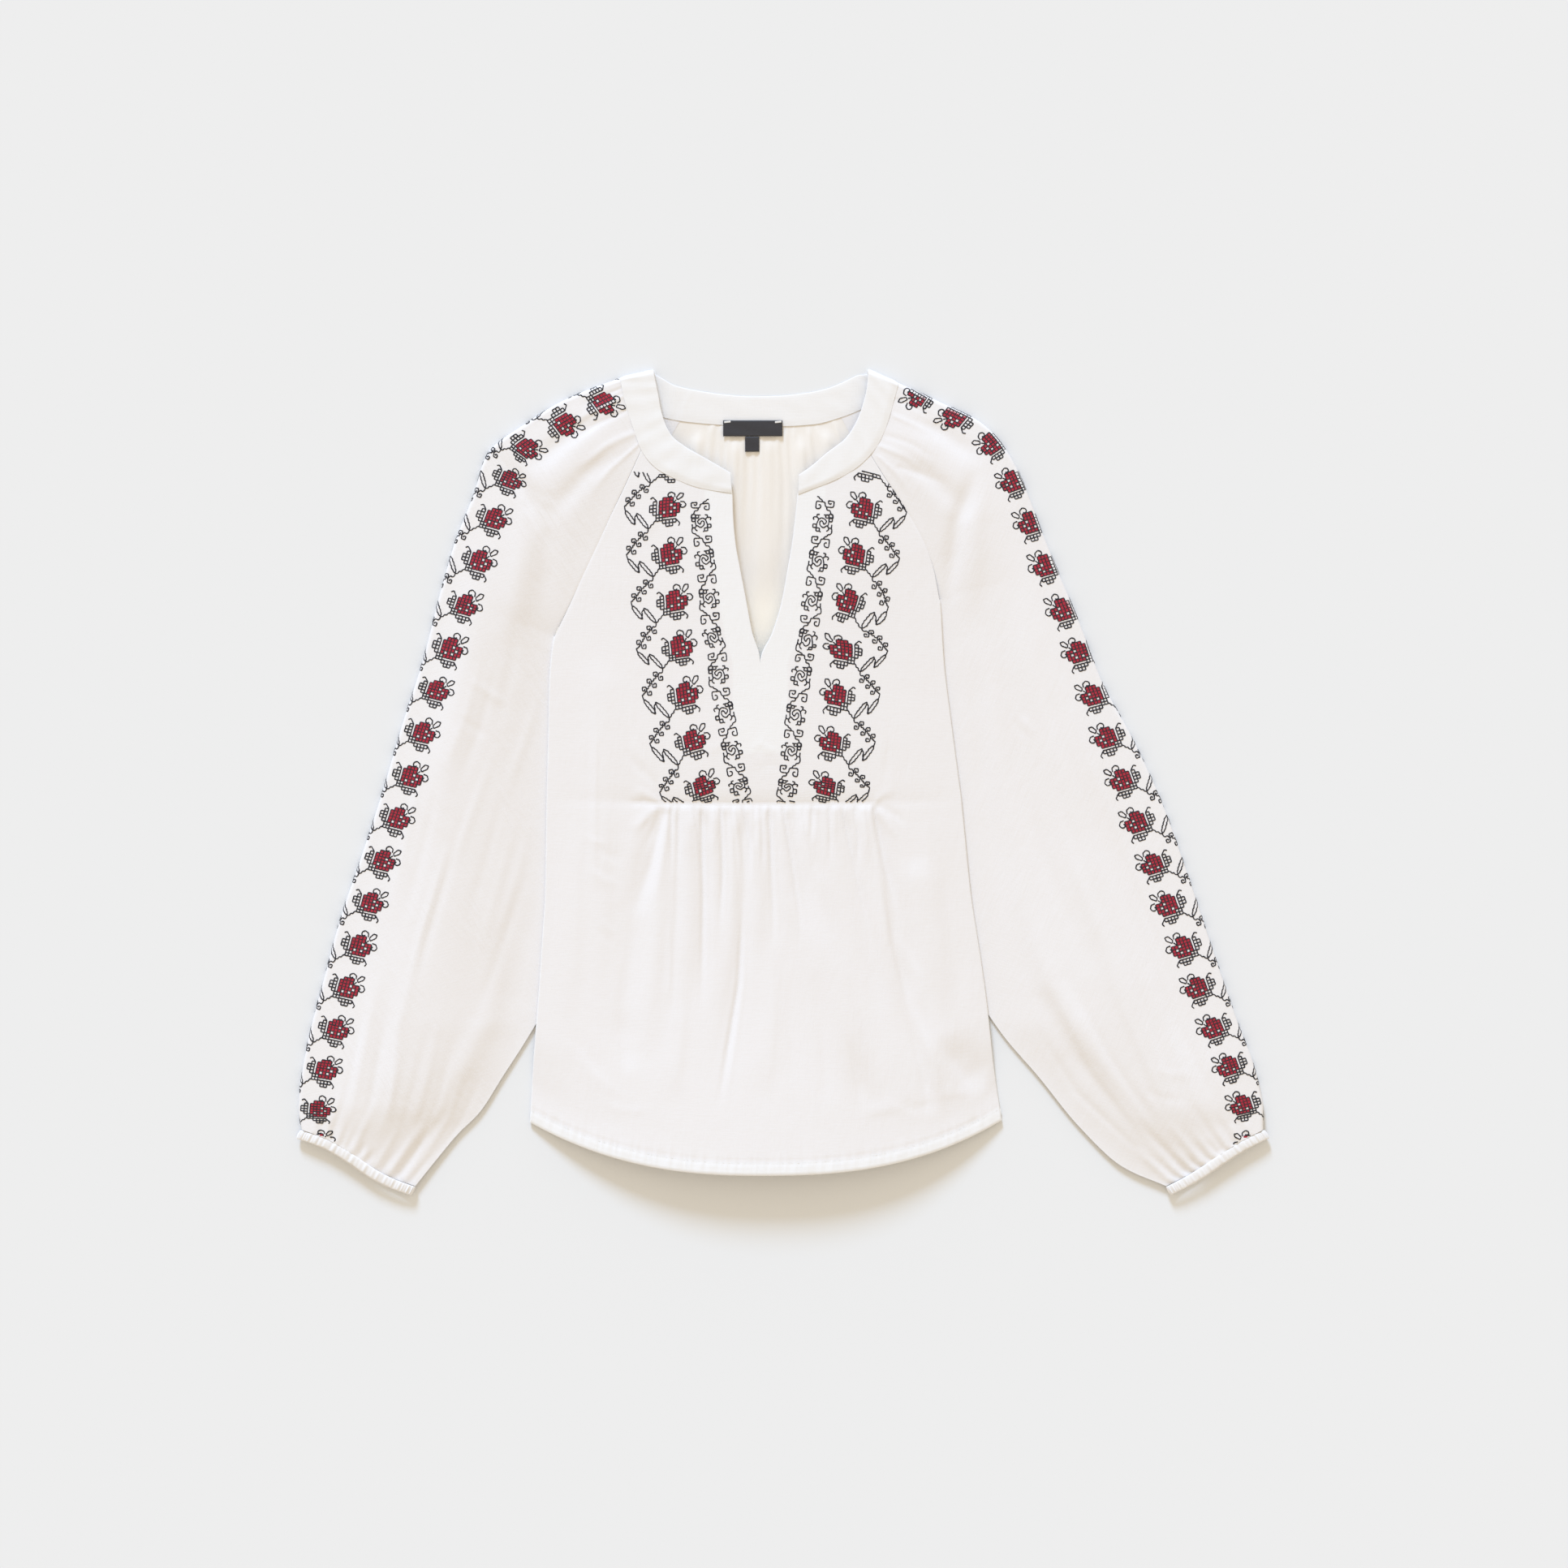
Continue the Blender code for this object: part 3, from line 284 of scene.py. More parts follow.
def cloth_piece(name, patches, material, doubled_and_painted_light=None):
    """Joins grids of points into one named sheet, closed where their edges meet."""
    points, faces, marks = [], [], []
    for number, grid in enumerate(patches):
        rows, columns = grid.shape[:2]
        first = sum(len(p) for p in points)
        points.append(((grid + MOVED) * MM).reshape(-1, 3))
        marks.append(np.zeros(rows * columns) if doubled_and_painted_light is None else doubled_and_painted_light[number].reshape(-1))
        index = first + np.arange(rows * columns).reshape(rows, columns)
        quads = np.stack([index[:-1, :-1], index[1:, :-1], index[1:, 1:], index[:-1, 1:]], axis=-1)
        faces.append(quads.reshape(-1, 4))
    mesh = bpy.data.meshes.new(name)
    mesh.from_pydata(np.vstack(points).tolist(), [], np.vstack(faces).tolist())
    mark = mesh.attributes.new("doubled_and_painted_light", "FLOAT", "POINT")
    mark.data.foreach_set("value", np.concatenate(marks).astype(np.float32))
    build = bmesh.new()
    build.from_mesh(mesh)
    bmesh.ops.remove_doubles(build, verts=build.verts, dist=0.005 * MM)
    bmesh.ops.recalc_face_normals(build, faces=build.faces)
    build.to_mesh(mesh)
    build.free()
    mesh.polygons.foreach_set("use_smooth", [True] * len(mesh.polygons))
    mesh.materials.append(material)
    piece = bpy.data.objects.new(name, mesh)
    bpy.context.scene.collection.objects.link(piece)
    return piece


def link_maker(tree):
    """Returns two short calls that add a node and join two sockets of one shader tree."""
    def add(kind, **settings):
        node = tree.nodes.new(kind)
        for key, value in settings.items():
            setattr(node, key, value)
        return node

    def join(source, output, target, entry):
        tree.links.new(source.outputs[output], target.inputs[entry])
    return add, join


def voile_weave_group():
    """Shader group for plain woven cotton: fine crossed threads, faint slubs, crinkles and rumples."""
    tree = bpy.data.node_groups.new("voile weave", "ShaderNodeTree")
    for name in ("Place", "Crinkle place"):
        tree.interface.new_socket(name, in_out="INPUT", socket_type="NodeSocketVector")
    for name, value in (("Thread", 1.0), ("Slub", 1.0), ("Rumple", 1.0), ("Crinkle", 1.0)):
        socket = tree.interface.new_socket(name, in_out="INPUT", socket_type="NodeSocketFloat")
        socket.default_value = value
    for name in ("Height", "Shade"):
        tree.interface.new_socket(name, in_out="OUTPUT", socket_type="NodeSocketFloat")
    add, join = link_maker(tree)
    entry, leave = add("NodeGroupInput"), add("NodeGroupOutput")

    def stretched(scale, stretch, place="Place"):
        mapping = add("ShaderNodeMapping")
        mapping.inputs["Scale"].default_value = stretch
        noise = add("ShaderNodeTexNoise", noise_dimensions="3D")
        noise.inputs["Scale"].default_value = scale
        noise.inputs["Detail"].default_value = 2.0
        join(entry, place, mapping, "Vector")
        join(mapping, "Vector", noise, "Vector")
        return noise

    def weighed(noise, amount):
        node = add("ShaderNodeMath", operation="MULTIPLY")
        join(noise, "Fac", node, 0)
        join(entry, amount, node, 1)
        return node

    def total(*nodes):
        result = nodes[0]
        for node in nodes[1:]:
            both = add("ShaderNodeMath", operation="ADD")
            join(result, 0, both, 0)
            join(node, 0, both, 1)
            result = both
        return result

    warp = weighed(stretched(1 / (WEAVE_SIZE * MM), (1.0, 0.12, 1.0)), "Thread")
    weft = weighed(stretched(1 / (WEAVE_SIZE * MM), (0.12, 1.0, 1.0)), "Thread")
    slub = weighed(stretched(1 / (WEFT_SLUB_SIZE * MM), (0.03, 1.0, 1.0)), "Slub")
    slub_warp = weighed(stretched(1 / (WARP_SLUB_SIZE * MM), (1.0, 0.04, 1.0)), "Slub")
    rumple_map = stretched(1 / (RUMPLE_SIZE * MM), (1.0, 0.45, 1.0))
    rumple_map.inputs["Detail"].default_value = 4.0
    rumple = weighed(rumple_map, "Rumple")
    fine_rumple = stretched(1 / (FINE_RUMPLE_SIZE * MM), (1.0, 0.5, 1.0))
    fine_rumple.inputs["Detail"].default_value = 3.0
    small = add("ShaderNodeMath", operation="MULTIPLY")
    small.inputs[1].default_value = FINE_RUMPLE_SHARE
    join(weighed(fine_rumple, "Rumple"), 0, small, 0)
    crinkle_map = stretched(1 / (CRINKLE_SIZE * MM), (1.0, 0.16, 1.0), "Crinkle place")
    crinkle_map.inputs["Detail"].default_value = 3.5
    crinkle_map.inputs["Distortion"].default_value = 0.35
    patches = add("ShaderNodeMapRange")
    patches.inputs["From Min"].default_value = CRINKLED_FROM
    patches.inputs["From Max"].default_value = CRINKLED_TO
    patches.inputs["To Min"].default_value = CRINKLE_LEAST
    patch_map = stretched(1 / (CRINKLED_PATCH_SIZE * MM), (1.0, 0.6, 1.0), "Crinkle place")
    join(patch_map, "Fac", patches, "Value")
    crinkle = add("ShaderNodeMath", operation="MULTIPLY")
    join(weighed(crinkle_map, "Crinkle"), 0, crinkle, 0)
    join(patches, "Result", crinkle, 1)
    thread_height = add("ShaderNodeMath", operation="MULTIPLY")
    thread_height.inputs[1].default_value = THREAD_RISE
    join(total(warp, weft, slub, slub_warp), 0, thread_height, 0)
    height = total(thread_height, rumple, small, crinkle)
    join(height, 0, leave, "Height")
    shade = total(slub, slub_warp)
    join(shade, 0, leave, "Shade")
    return tree


voile_weave = voile_weave_group()


def new_finish(name):
    """A new material, its short node calls, its surface shader and the piece's own coordinates."""
    material = bpy.data.materials.new(name)
    material.use_nodes = True
    add, join = link_maker(material.node_tree)
    return material, add, join, material.node_tree.nodes["Principled BSDF"], add("ShaderNodeTexCoord")


def raise_surface(add, join, shader, source, output, strength, deep):
    """Lets a height in a material show as relief, deep being its full height in millimetres."""
    bump = add("ShaderNodeBump")
    bump.inputs["Strength"].default_value = strength
    bump.inputs["Distance"].default_value = deep * MM
    join(source, output, bump, "Height")
    join(bump, "Normal", shader, "Normal")


def cotton(name, grain_angle=0.0, thread=1.6, slub=0.3, rumple=1.0, crinkle=0.5, crinkle_angle=0.0,
           pale=PALE_COTTON, doubled_and_painted_light=DOUBLED_COTTON):
    """Matte cotton voile, a little brighter where the cloth lies double; on the back the same mix
    paints light below the slit.
    """
    material, add, join, shader, place = new_finish(name)
    turn = add("ShaderNodeMapping")
    turn.inputs["Rotation"].default_value = (0.0, 0.0, math.radians(grain_angle))
    weave = add("ShaderNodeGroup", node_tree=voile_weave)
    weave.inputs["Thread"].default_value = thread
    weave.inputs["Slub"].default_value = slub
    weave.inputs["Rumple"].default_value = rumple
    weave.inputs["Crinkle"].default_value = crinkle
    crinkle_turn = add("ShaderNodeMapping")
    crinkle_turn.inputs["Rotation"].default_value = (0.0, 0.0, math.radians(crinkle_angle))
    join(place, "Object", crinkle_turn, "Vector")
    join(crinkle_turn, "Vector", weave, "Crinkle place")
    join(place, "Object", turn, "Vector")
    join(turn, "Vector", weave, "Place")
    doubling_and_painted_light_mark = add("ShaderNodeAttribute", attribute_name="doubled_and_painted_light")
    single = add("ShaderNodeMix", data_type="RGBA")
    single.inputs["A"].default_value = pale
    single.inputs["B"].default_value = doubled_and_painted_light
    join(doubling_and_painted_light_mark, "Fac", single, "Factor")
    darken = add("ShaderNodeMapRange")
    darken.inputs["From Min"].default_value = LOW_WEAVE
    darken.inputs["From Max"].default_value = HIGH_WEAVE
    darken.inputs["To Min"].default_value = 1.0 - COTTON_HOLLOW / 2
    darken.inputs["To Max"].default_value = 1.0 + COTTON_HOLLOW / 2
    join(weave, "Shade", darken, "Value")
    tint = add("ShaderNodeVectorMath", operation="SCALE")
    join(single, "Result", tint, 0)
    join(darken, "Result", tint, "Scale")
    join(tint, "Vector", shader, "Base Color")
    raise_surface(add, join, shader, weave, "Height", COTTON_BUMP, COTTON_BUMP_DEEP)
    shader.inputs["Roughness"].default_value = 0.85
    shader.inputs["Specular IOR Level"].default_value = 0.25
    shader.inputs["Sheen Weight"].default_value = 0.15
    shader.inputs["Sheen Roughness"].default_value = 0.5
    return material


def back_grid():
    """Points of the back from its neck seam to its hem."""
    shares = np.linspace(0.0, 1.0, BACK_COLUMNS + 1)
    rows = []
    for index in range(SHOULDER_ROWS + 1):
        left = back_raglan("righthand", [index / SHOULDER_ROWS])[0]
        right = back_raglan("lefthand", [index / SHOULDER_ROWS])[0]
        rows.append(np.column_stack([left + (right - left) * shares[:, None], np.zeros(len(shares))]))
    places = RAGLAN_BACK["righthand"] + (RAGLAN_BACK["lefthand"] - RAGLAN_BACK["righthand"]) * shares
    rows[0] = neck_seam(places, 0.0, UNDER_BAND)
    for row in BACK:
        left, right = side_x(row.side_y, "righthand"), side_x(row.side_y, "lefthand")
        y = row.side_y + (row.middle_y - row.side_y) * (1 - np.abs(2 * shares - 1) ** BACK_HEM_CURVE)
        rows.append(np.column_stack([left + (right - left) * shares, y, np.zeros(len(shares))]))
    coarse = np.array(rows)
    grid = curve_through(coarse, row_places(coarse, BACK_ROW_STEP))
    x, y = grid[:, :, 0], grid[:, :, 1]
    grid[:, :, 2] = CLOTH_MIDDLE + tuck_lift(x, y) + np.maximum(0.0, fold_height(x, y, BACK_FOLDS))
    grid[:, :, 2] += np.maximum(0.0, fold_height(x, y, BACK_CREASES, CREASE_START, CREASE_END))
    return grid


# The back's material paints light: a warmer tint all over, and a paler colour from a little above the
# foot of the slit downwards
back_painted_warm_light_cotton = cotton("cotton voile, back", thread=0.8, pale=BACK_PAINTED_WARM_LIGHT_COTTON, doubled_and_painted_light=SLIT_PAINTED_LIGHT_COTTON)
back_points = back_grid()
slit_painted_light = smooth((SLIT_PAINTED_LIGHT_FROM - back_points[:, :, 1]) / SLIT_PAINTED_LIGHT_FADE)
back = cloth_piece("blouse_back", [back_points], back_painted_warm_light_cotton, [slit_painted_light])
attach(back, "root")
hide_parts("back")

# The front: one panel of the same voile, slit at the neck and gathered into a straight seam under
# the embroidered bib. A facing behind the slit shows through as brighter cloth. Its side seams roll
# under, and its curved hem is turned up inside and stitched.
FRONT_CELLS = {"righthand": 132, "lefthand": 116}
FRONT_ROW_STEP = 2.7
BODY_ROUND = 2.2
HEM_CURVE = {"righthand": 2.4, "lefthand": 2.6}
FRONT_SEAM_BEND = (1.0, 0.45, 0.12, 0.0)
FOLD_FREE_SIDE = 0.15
SlitRow = namedtuple("SlitRow", "y righthand lefthand edge crown")
SLIT = [
    SlitRow(246.5, -43, 13, 7, 8.4),
    SlitRow(225, -42.3, 10.8, 7, 8.6),
    SlitRow(203, -40.2, 8, 6.8, 9),
    SlitRow(180, -36, 4, 6.5, 9.3),
    SlitRow(155, -31.2, -0.6, 6.2, 9.6),
    SlitRow(129, -26.3, -8.5, 5.6, 9.8),
    SlitRow(102.5, -19.2, -19.2, 5.3, 10),
]
RAGLAN_LINE = {
    "righthand": [(-120.5, 284.5), (-133.5, 255.0), (-146.0, 228.5), (-157.5, 203.0),
                  (-169.5, 177.5), (-181.0, 152.0), (-193.5, 126.0)],
    "lefthand": [(75.0, 280.5), (86.5, 261.0), (98.5, 242.5), (110.0, 224.0), (119.5, 206.0),
                 (127.5, 184.0), (133.0, 156.5)],
}
FrontRow = namedtuple("FrontRow", "righthand_y middle_y lefthand_y edge crown")
FRONT = [
    FrontRow(88, 64, 106, 5.3, 10.4),
    FrontRow(44, 28, 50, 5.3, 10.8),
    FrontRow(4, -4, 4, 5.3, 10.6),
    FrontRow(-12, -16, -13, 5.3, 9.8),
    FrontRow(-17, -21.5, -18, 5.3, 10.4),
    FrontRow(-26, -31, -27, 5.3, 10.8),
    FrontRow(-42, -49, -43, 5.3, 11.2),
    FrontRow(-66, -76, -67, 5.3, 11.6),
    FrontRow(-94, -108, -95, 5.3, 12.2),
    FrontRow(-126, -144, -126, 5.3, 13),
    FrontRow(-158, -180, -158, 5.3, 14),
    FrontRow(-188, -214, -188, 5.3, 15.4),
    FrontRow(-214, -246, -214, 5.3, 17),
    FrontRow(-238, -275, -238, 4, 18.6),
    FrontRow(-260, -302, -260, 2.7, 20),
    FrontRow(-275.8, -318.7, -275, 3, 20.9),
    FrontRow(-287, -330.2, -285.5, 3, 21.6),
]
BIB_SEAM_ROW = SHOULDER_ROWS + 4
FRONT_FOLDS = [
    Fold(-102, -18, -130, -109, -141, -250, -2.6, 7, 17),
    Fold(-97, -18, -104, -100, -116, -240, 2.4, 5, 13),
    Fold(-91, -18, -93, -105, -100, -200, -1.8, 4.2, 7),
    Fold(-78, -18, -79, -90, -84, -190, 1.8, 5, 10),
    Fold(-68, -18, -64.5, -78, -69.5, -200, -2.4, 4.6, 8),
    Fold(-58, -18, -56, -70, -60, -150, 1.6, 4.6, 8),
    Fold(-48.5, -18, -50, -64, -58, -135, -1.6, 4.4, 7),
    Fold(-41, -18, -42, -90, -46, -200, 1.8, 4.4, 9),
    Fold(-33, -18, -34, -130, -54, -285, -2.8, 4.6, 11),
    Fold(-22, -18, -21, -78, -20, -150, 1.6, 4.6, 9),
    Fold(-11, -18, -10, -80, -7, -150, -1.6, 4.6, 8),
    Fold(-3, -18, 3, -80, 12, -140, 1.3, 4.6, 8),
    Fold(4, -18, 12, -80, 22, -140, -1.6, 4.6, 8),
    Fold(16, -18, 34, -120, 70, -270, 3.4, 6, 16),
    Fold(27, -18, 28, -45, 34, -90, -1.4, 4.6, 7),
    Fold(52, -18, 69, -120, 94, -225, -2, 5, 11),
    Fold(64, -18, 80, -80, 100, -170, 1.8, 5, 10),
    Fold(77, -18, 96, -110, 120, -275, -2.4, 6, 15),
    Fold(112, -60, 122, -150, 136, -275, 2.2, 12, 14),
    Fold(-153, 120, -152, 10, -156, -210, 2, 14, 18),
]
# Sharper small gathers under the bib seam, puckers at its ends, and creases of the laid cloth
FRONT_CREASES = [
    Fold(-94.1, -18, -95.2, -42, -94.3, -78, -1, 1.1, 1.6),
    Fold(-88.6, -18, -88.4, -48, -89.3, -76, -0.8, 1, 1.4),
    Fold(-99.5, -19, -109.5, -62, -126, -118, -1.5, 2.4, 6),
    Fold(-96.8, -18, -102, -60, -112, -120, 1, 1.6, 4.5),
    Fold(-91.2, -18, -92, -60, -96, -185, 0.9, 1.2, 3.4),
    Fold(-83, -18, -80.5, -44, -78, -70, 0.5, 2.2, 4),
    Fold(-76, -18, -71, -46, -67.8, -90, -0.7, 1.1, 1.5),
    Fold(-68.8, -18, -67.4, -98, -68.6, -205, -1.7, 1.3, 2.8),
    Fold(-66, -18, -64.2, -98, -65, -200, 1, 1.3, 2.6),
    Fold(-58.4, -18, -57.6, -40, -60, -70, 0.5, 1.2, 2.4),
    Fold(-53, -18, -50.8, -76, -54.6, -140, -1.4, 1.1, 2),
    Fold(-50.4, -18, -48, -72, -51.6, -134, 0.9, 1.1, 2.2),
    Fold(-44.4, -18, -40.6, -46, -38.4, -86, -0.8, 1.1, 1.6),
    Fold(-41.6, -18, -37, -50, -33.6, -100, 0.8, 1.2, 2),
    Fold(-34.4, -18, -28.6, -46, -27.2, -84, -1.1, 1, 1.6),
    Fold(-31.8, -18, -25.8, -46, -24, -90, 0.7, 1, 1.8),
    Fold(-24.6, -18, -24, -34, -25, -56, -0.6, 1, 1.4),
    Fold(-18.8, -18, -17.6, -46, -17, -82, -0.9, 1, 1.6),
    Fold(-15.4, -18, -13.8, -46, -12.4, -90, 0.6, 1.1, 2),
    Fold(-11.6, -18, -9.6, -68, -6.8, -148, -1.3, 1.1, 2.2),
    Fold(-8.8, -18, -6.6, -68, -3, -148, 0.8, 1.2, 2.4),
    Fold(-0.6, -18, 7, -62, 19, -142, -1.3, 1.1, 2.2),
    Fold(2.4, -18, 10.4, -62, 23, -146, 0.9, 1.2, 2.8),
    Fold(9, -18, 11.6, -34, 16, -54, -0.5, 1, 1.6),
    Fold(16, -18, 20, -40, 30, -84, -0.6, 1.1, 2.2),
    Fold(24.6, -18, 24, -34, 23.6, -52, -0.9, 1, 1.4),
    Fold(29.4, -18, 29, -34, 30, -54, 0.5, 1, 1.6),
    Fold(38.4, -18, 39.8, -40, 39.6, -74, -0.9, 1, 1.6),
    Fold(44.4, -18, 44.6, -34, 45, -50, 0.5, 1, 1.6),
    Fold(48.8, -18, 60, -66, 79, -152, -1.2, 1.1, 2.2),
    Fold(51.8, -18, 63.4, -66, 83, -150, 0.8, 1.2, 2.4),
    Fold(60.2, -18, 63.4, -46, 62.6, -78, -0.9, 1, 1.5),
    Fold(68.4, -18, 71, -42, 74, -72, 0.6, 1.1, 2),
    Fold(76.4, -18, 84.6, -62, 100, -122, -1.2, 1.2, 2.6),
    Fold(73.6, -18, 81, -62, 95, -124, 0.8, 1.2, 2.8),
    Fold(-105.6, -14, -118, -7, -130, -4, 0.6, 1.4, 2.6),
    Fold(-106.4, -17, -120, -15, -136, -15, -0.6, 1.2, 2.4),
    Fold(-105.8, -20, -117, -30, -129, -44, 0.7, 1.4, 2.8),
    Fold(-104.6, -12, -110, 2, -118, 14, -0.5, 1.3, 2.4),
    Fold(-104, -22, -110, -38, -117, -56, -0.6, 1.3, 2.6),
    Fold(78.6, -14, 88, -8, 98, -4, 0.5, 1.3, 2.4),
    Fold(79.6, -18, 92, -24, 106, -36, -0.6, 1.3, 2.4),
    Fold(79, -21, 89, -32, 98, -48, 0.5, 1.3, 2.4),
]
FRONT_SOFT = [
    Fold(-33.4, -80, -37.4, -168, -56, -282, -1.9, 1.3, 2.6),
    Fold(-30.6, -84, -34, -168, -51, -282, 1.2, 1.5, 4),
    Fold(-96, -100, -95.6, -150, -97, -196, 0.7, 1.4, 2.4),
    Fold(18, -80, 48, -162, 75, -272, 2, 8, 10),
    Fold(54, -210, 62, -244, 68, -276, -0.8, 2.2, 3.4),
    Fold(-2, -150, 8, -215, 10, -262, -0.5, 3.4, 5),
    Fold(110, -180, 129, -238, 138, -282, 1.1, 2.2, 3.4),
    Fold(105, -190, 117, -240, 126, -284, -1.3, 2.6, 4),
    Fold(134, -212, 152, -240, 170, -264, -2.3, 7, 10),
    Fold(82, -60, 94, -136, 112, -208, -1.3, 1.8, 3.2),
    Fold(78, -56, 90, -136, 107, -210, 1.1, 2.6, 4.4),
    Fold(100, -70, 112, -150, 130, -236, -1.1, 6, 9),
    Fold(118, -20, 126, -100, 140, -200, 0.9, 5, 8),
    Fold(132, -30, 142, -110, 156, -210, -0.8, 5, 8),
    Fold(-176, -10, -176, -110, -184, -220, 0.9, 6, 9),
    Fold(-144, -6, -141, -100, -150, -200, -0.8, 6, 9),
    Fold(-122, -20, -132, -110, -152, -236, 0.9, 5, 8),
    Fold(-84, -150, -86, -210, -94, -276, 0.8, 4, 7),
    Fold(-10, -130, -8, -200, -16, -270, 0.8, 4, 7),
    Fold(24, -150, 34, -210, 40, -276, -0.8, 4, 6),
    Fold(128, -266, 146, -262, 160, -262, 0.3, 3, 4),
    Fold(92, -118, 112, -160, 122, -206, 0.8, 3, 5),
    Fold(86, -268, 110, -274, 138, -268, -0.35, 2.4, 3.4),
    Fold(60, -282, 84, -276, 112, -270, 0.4, 2.4, 4),
    Fold(-186, -205, -166, -226, -148, -248, -0.35, 4, 6),
    Fold(-176, -226, -160, -246, -132, -268, 0.3, 3, 5),
    Fold(-138, -186, -134, -216, -131, -248, -0.9, 5, 7),
    Fold(-160, -266, -134, -276, -106, -276, 0.25, 2.4, 3.4),
    Fold(-157, -112, -149, -120, -139, -128, 0.15, 1.5, 2.2),
    Fold(-162, -120, -152, -130, -143, -136, -0.15, 1.5, 2.2),
    Fold(-168, -68, -152, -80, -136, -86, 0.3, 2, 3),
    Fold(-160, -50, -150, -60, -132, -66, -0.3, 2, 3),
    Fold(-172, -40, -160, -48, -146, -50, 0.25, 1.6, 2.6),
    Fold(-158.2, 80, -158.4, -10, -160, -110, 0.5, 1.6, 2.4),
    Fold(-96, 240, -110, 222, -128, 200, 0.3, 3, 5),
    Fold(70, 252, 80, 232, 92, 205, 0.35, 3, 5),
    Fold(-134, 30, -124, 14, -112, 4, -0.35, 1.8, 3),
    Fold(-128, 44, -122, 26, -114, 12, 0.3, 1.8, 3),
    Fold(90, 40, 88, 20, 86, 2, -0.3, 1.6, 2.6),
    Fold(-66, 36, -58, 30, -48, 34, 0.22, 1.4, 2.2),
    Fold(-30, 26, -18, 34, -2, 26, 0.25, 1.4, 2.2),
    Fold(-28, 12, -12, 16, 4, 10, -0.22, 1.4, 2.2),
]
SOFT_START, SOFT_END = 0.45, 0.35
CREASE_LEAN = 2.2
SEAM_GROOVE, SEAM_GROOVE_WIDTH = 0.35, 1.1
BIB_SEAM_ENDS = (-106.0, 78.0)
GATHER_PUFF = 0.45
GATHER_SHARE = 0.5
SEAM_DIP = 0.25
FACING_REACH = 24.0
FACING_FOOT = 26.0
HEM_DEEP = 10.7
HEM_PUCKERS = 170
FRONT_WIDE = 150.0
FACING_EDGE, HEM_EDGE, HEM_OVER = 1.5, 0.8, 0.4
SLIT_ROLL_FADE = 12.0
# Columns that stand close to a panel's seam edge, and where its even cells start
SEAM_COLUMNS, CELLS_FROM = (0.7, 1.6), 3.4
SEAM_DIP_WIDE = 0.9
SEAM_END_FADE = 4.0
PUFF_START, PUFF_REACH = 5.0, 26.0
HEM_PUCKER, HEM_PUCKER_REACH = 0.34, 6.0
HEM_GROOVE, HEM_GROOVE_WIDTH, HEM_THICK = 0.35, 1.2, 0.3
SIDE_ROLL = [(0.0, 0.0), (-0.45, -0.35), (-0.65, -0.9), (-0.6, -1.5), (-0.4, -2.0), (-0.1, -2.4)]
HEM_ROLL = [(0.0, 0.0), (-0.35, -0.3), (-0.4, -0.75), (0.0, -1.15), (4.0, -1.2), (10.4, -1.2)]
SLIT_ROLL = [(0.0, 0.0), (-0.4, -0.3), (-0.45, -0.8), (0.0, -1.2), (8.0, -1.3)]


def fading(at, shares):
    """How far the bend of the neck seam reaches at a row."""
    return np.interp(at, range(len(shares)), shares)


def edge_shares(width, cells):
    """Shares across a panel with two close columns at its seam edge, for the pressed seam."""
    close = [column / width for column in SEAM_COLUMNS]
    return np.concatenate([[0.0], close, np.linspace(CELLS_FROM / width, 1.0, cells)])


def front_half(hand):
    """Points of one half of the front, from its side edge to the slit and the middle."""
    shares = edge_shares(FRONT_WIDE, FRONT_CELLS[hand])
    around = (1 - (1 - shares) ** BODY_ROUND)[:, None]
    rows = []
    for row, (edge_x, edge_y) in zip(SLIT, RAGLAN_LINE[hand]):
        edge = np.array([edge_x, edge_y, row.edge])
        slit = np.array([getattr(row, hand), row.y, row.edge])
        line = edge + (slit - edge) * shares[:, None]
        line[:, 2:] += (row.crown - row.edge) * around
        rows.append(line)
    middle_x = SLIT[-1].righthand
    for row in FRONT:
        side_y = getattr(row, hand + "_y")
        edge_x = side_x(side_y, hand)
        y = side_y + (row.middle_y - side_y) * (1 - (1 - shares) ** HEM_CURVE[hand])
        z = row.edge + (row.crown - row.edge) * around[:, 0]
        rows.append(np.column_stack([edge_x + (middle_x - edge_x) * shares, y, z]))
    coarse = np.array(rows)
    at = row_places(coarse, FRONT_ROW_STEP)
    grid = curve_through(coarse, at)
    # The raglan edge is curved on its own, so that the sleeve's edge has the same line
    shoulder = at <= SHOULDER_ROWS
    raglan = curve_through(coarse[:SHOULDER_ROWS + 1, 0], at[shoulder])
    near_edge = (1 - smooth(shares / 0.12))[None, :, None]
    grid[shoulder] += (raglan - grid[shoulder][:, 0])[:, None, :] * near_edge
    seam_places = RAGLAN_FRONT[hand] + (SLIT_PLACE[hand] - RAGLAN_FRONT[hand]) * shares
    bend = neck_seam(seam_places, None, UNDER_BAND) - grid[0]
    bend[:, 2] -= 0.5
    grid += bend[None] * fading(at, FRONT_SEAM_BEND)[:, None, None]
    return grid, at, shares


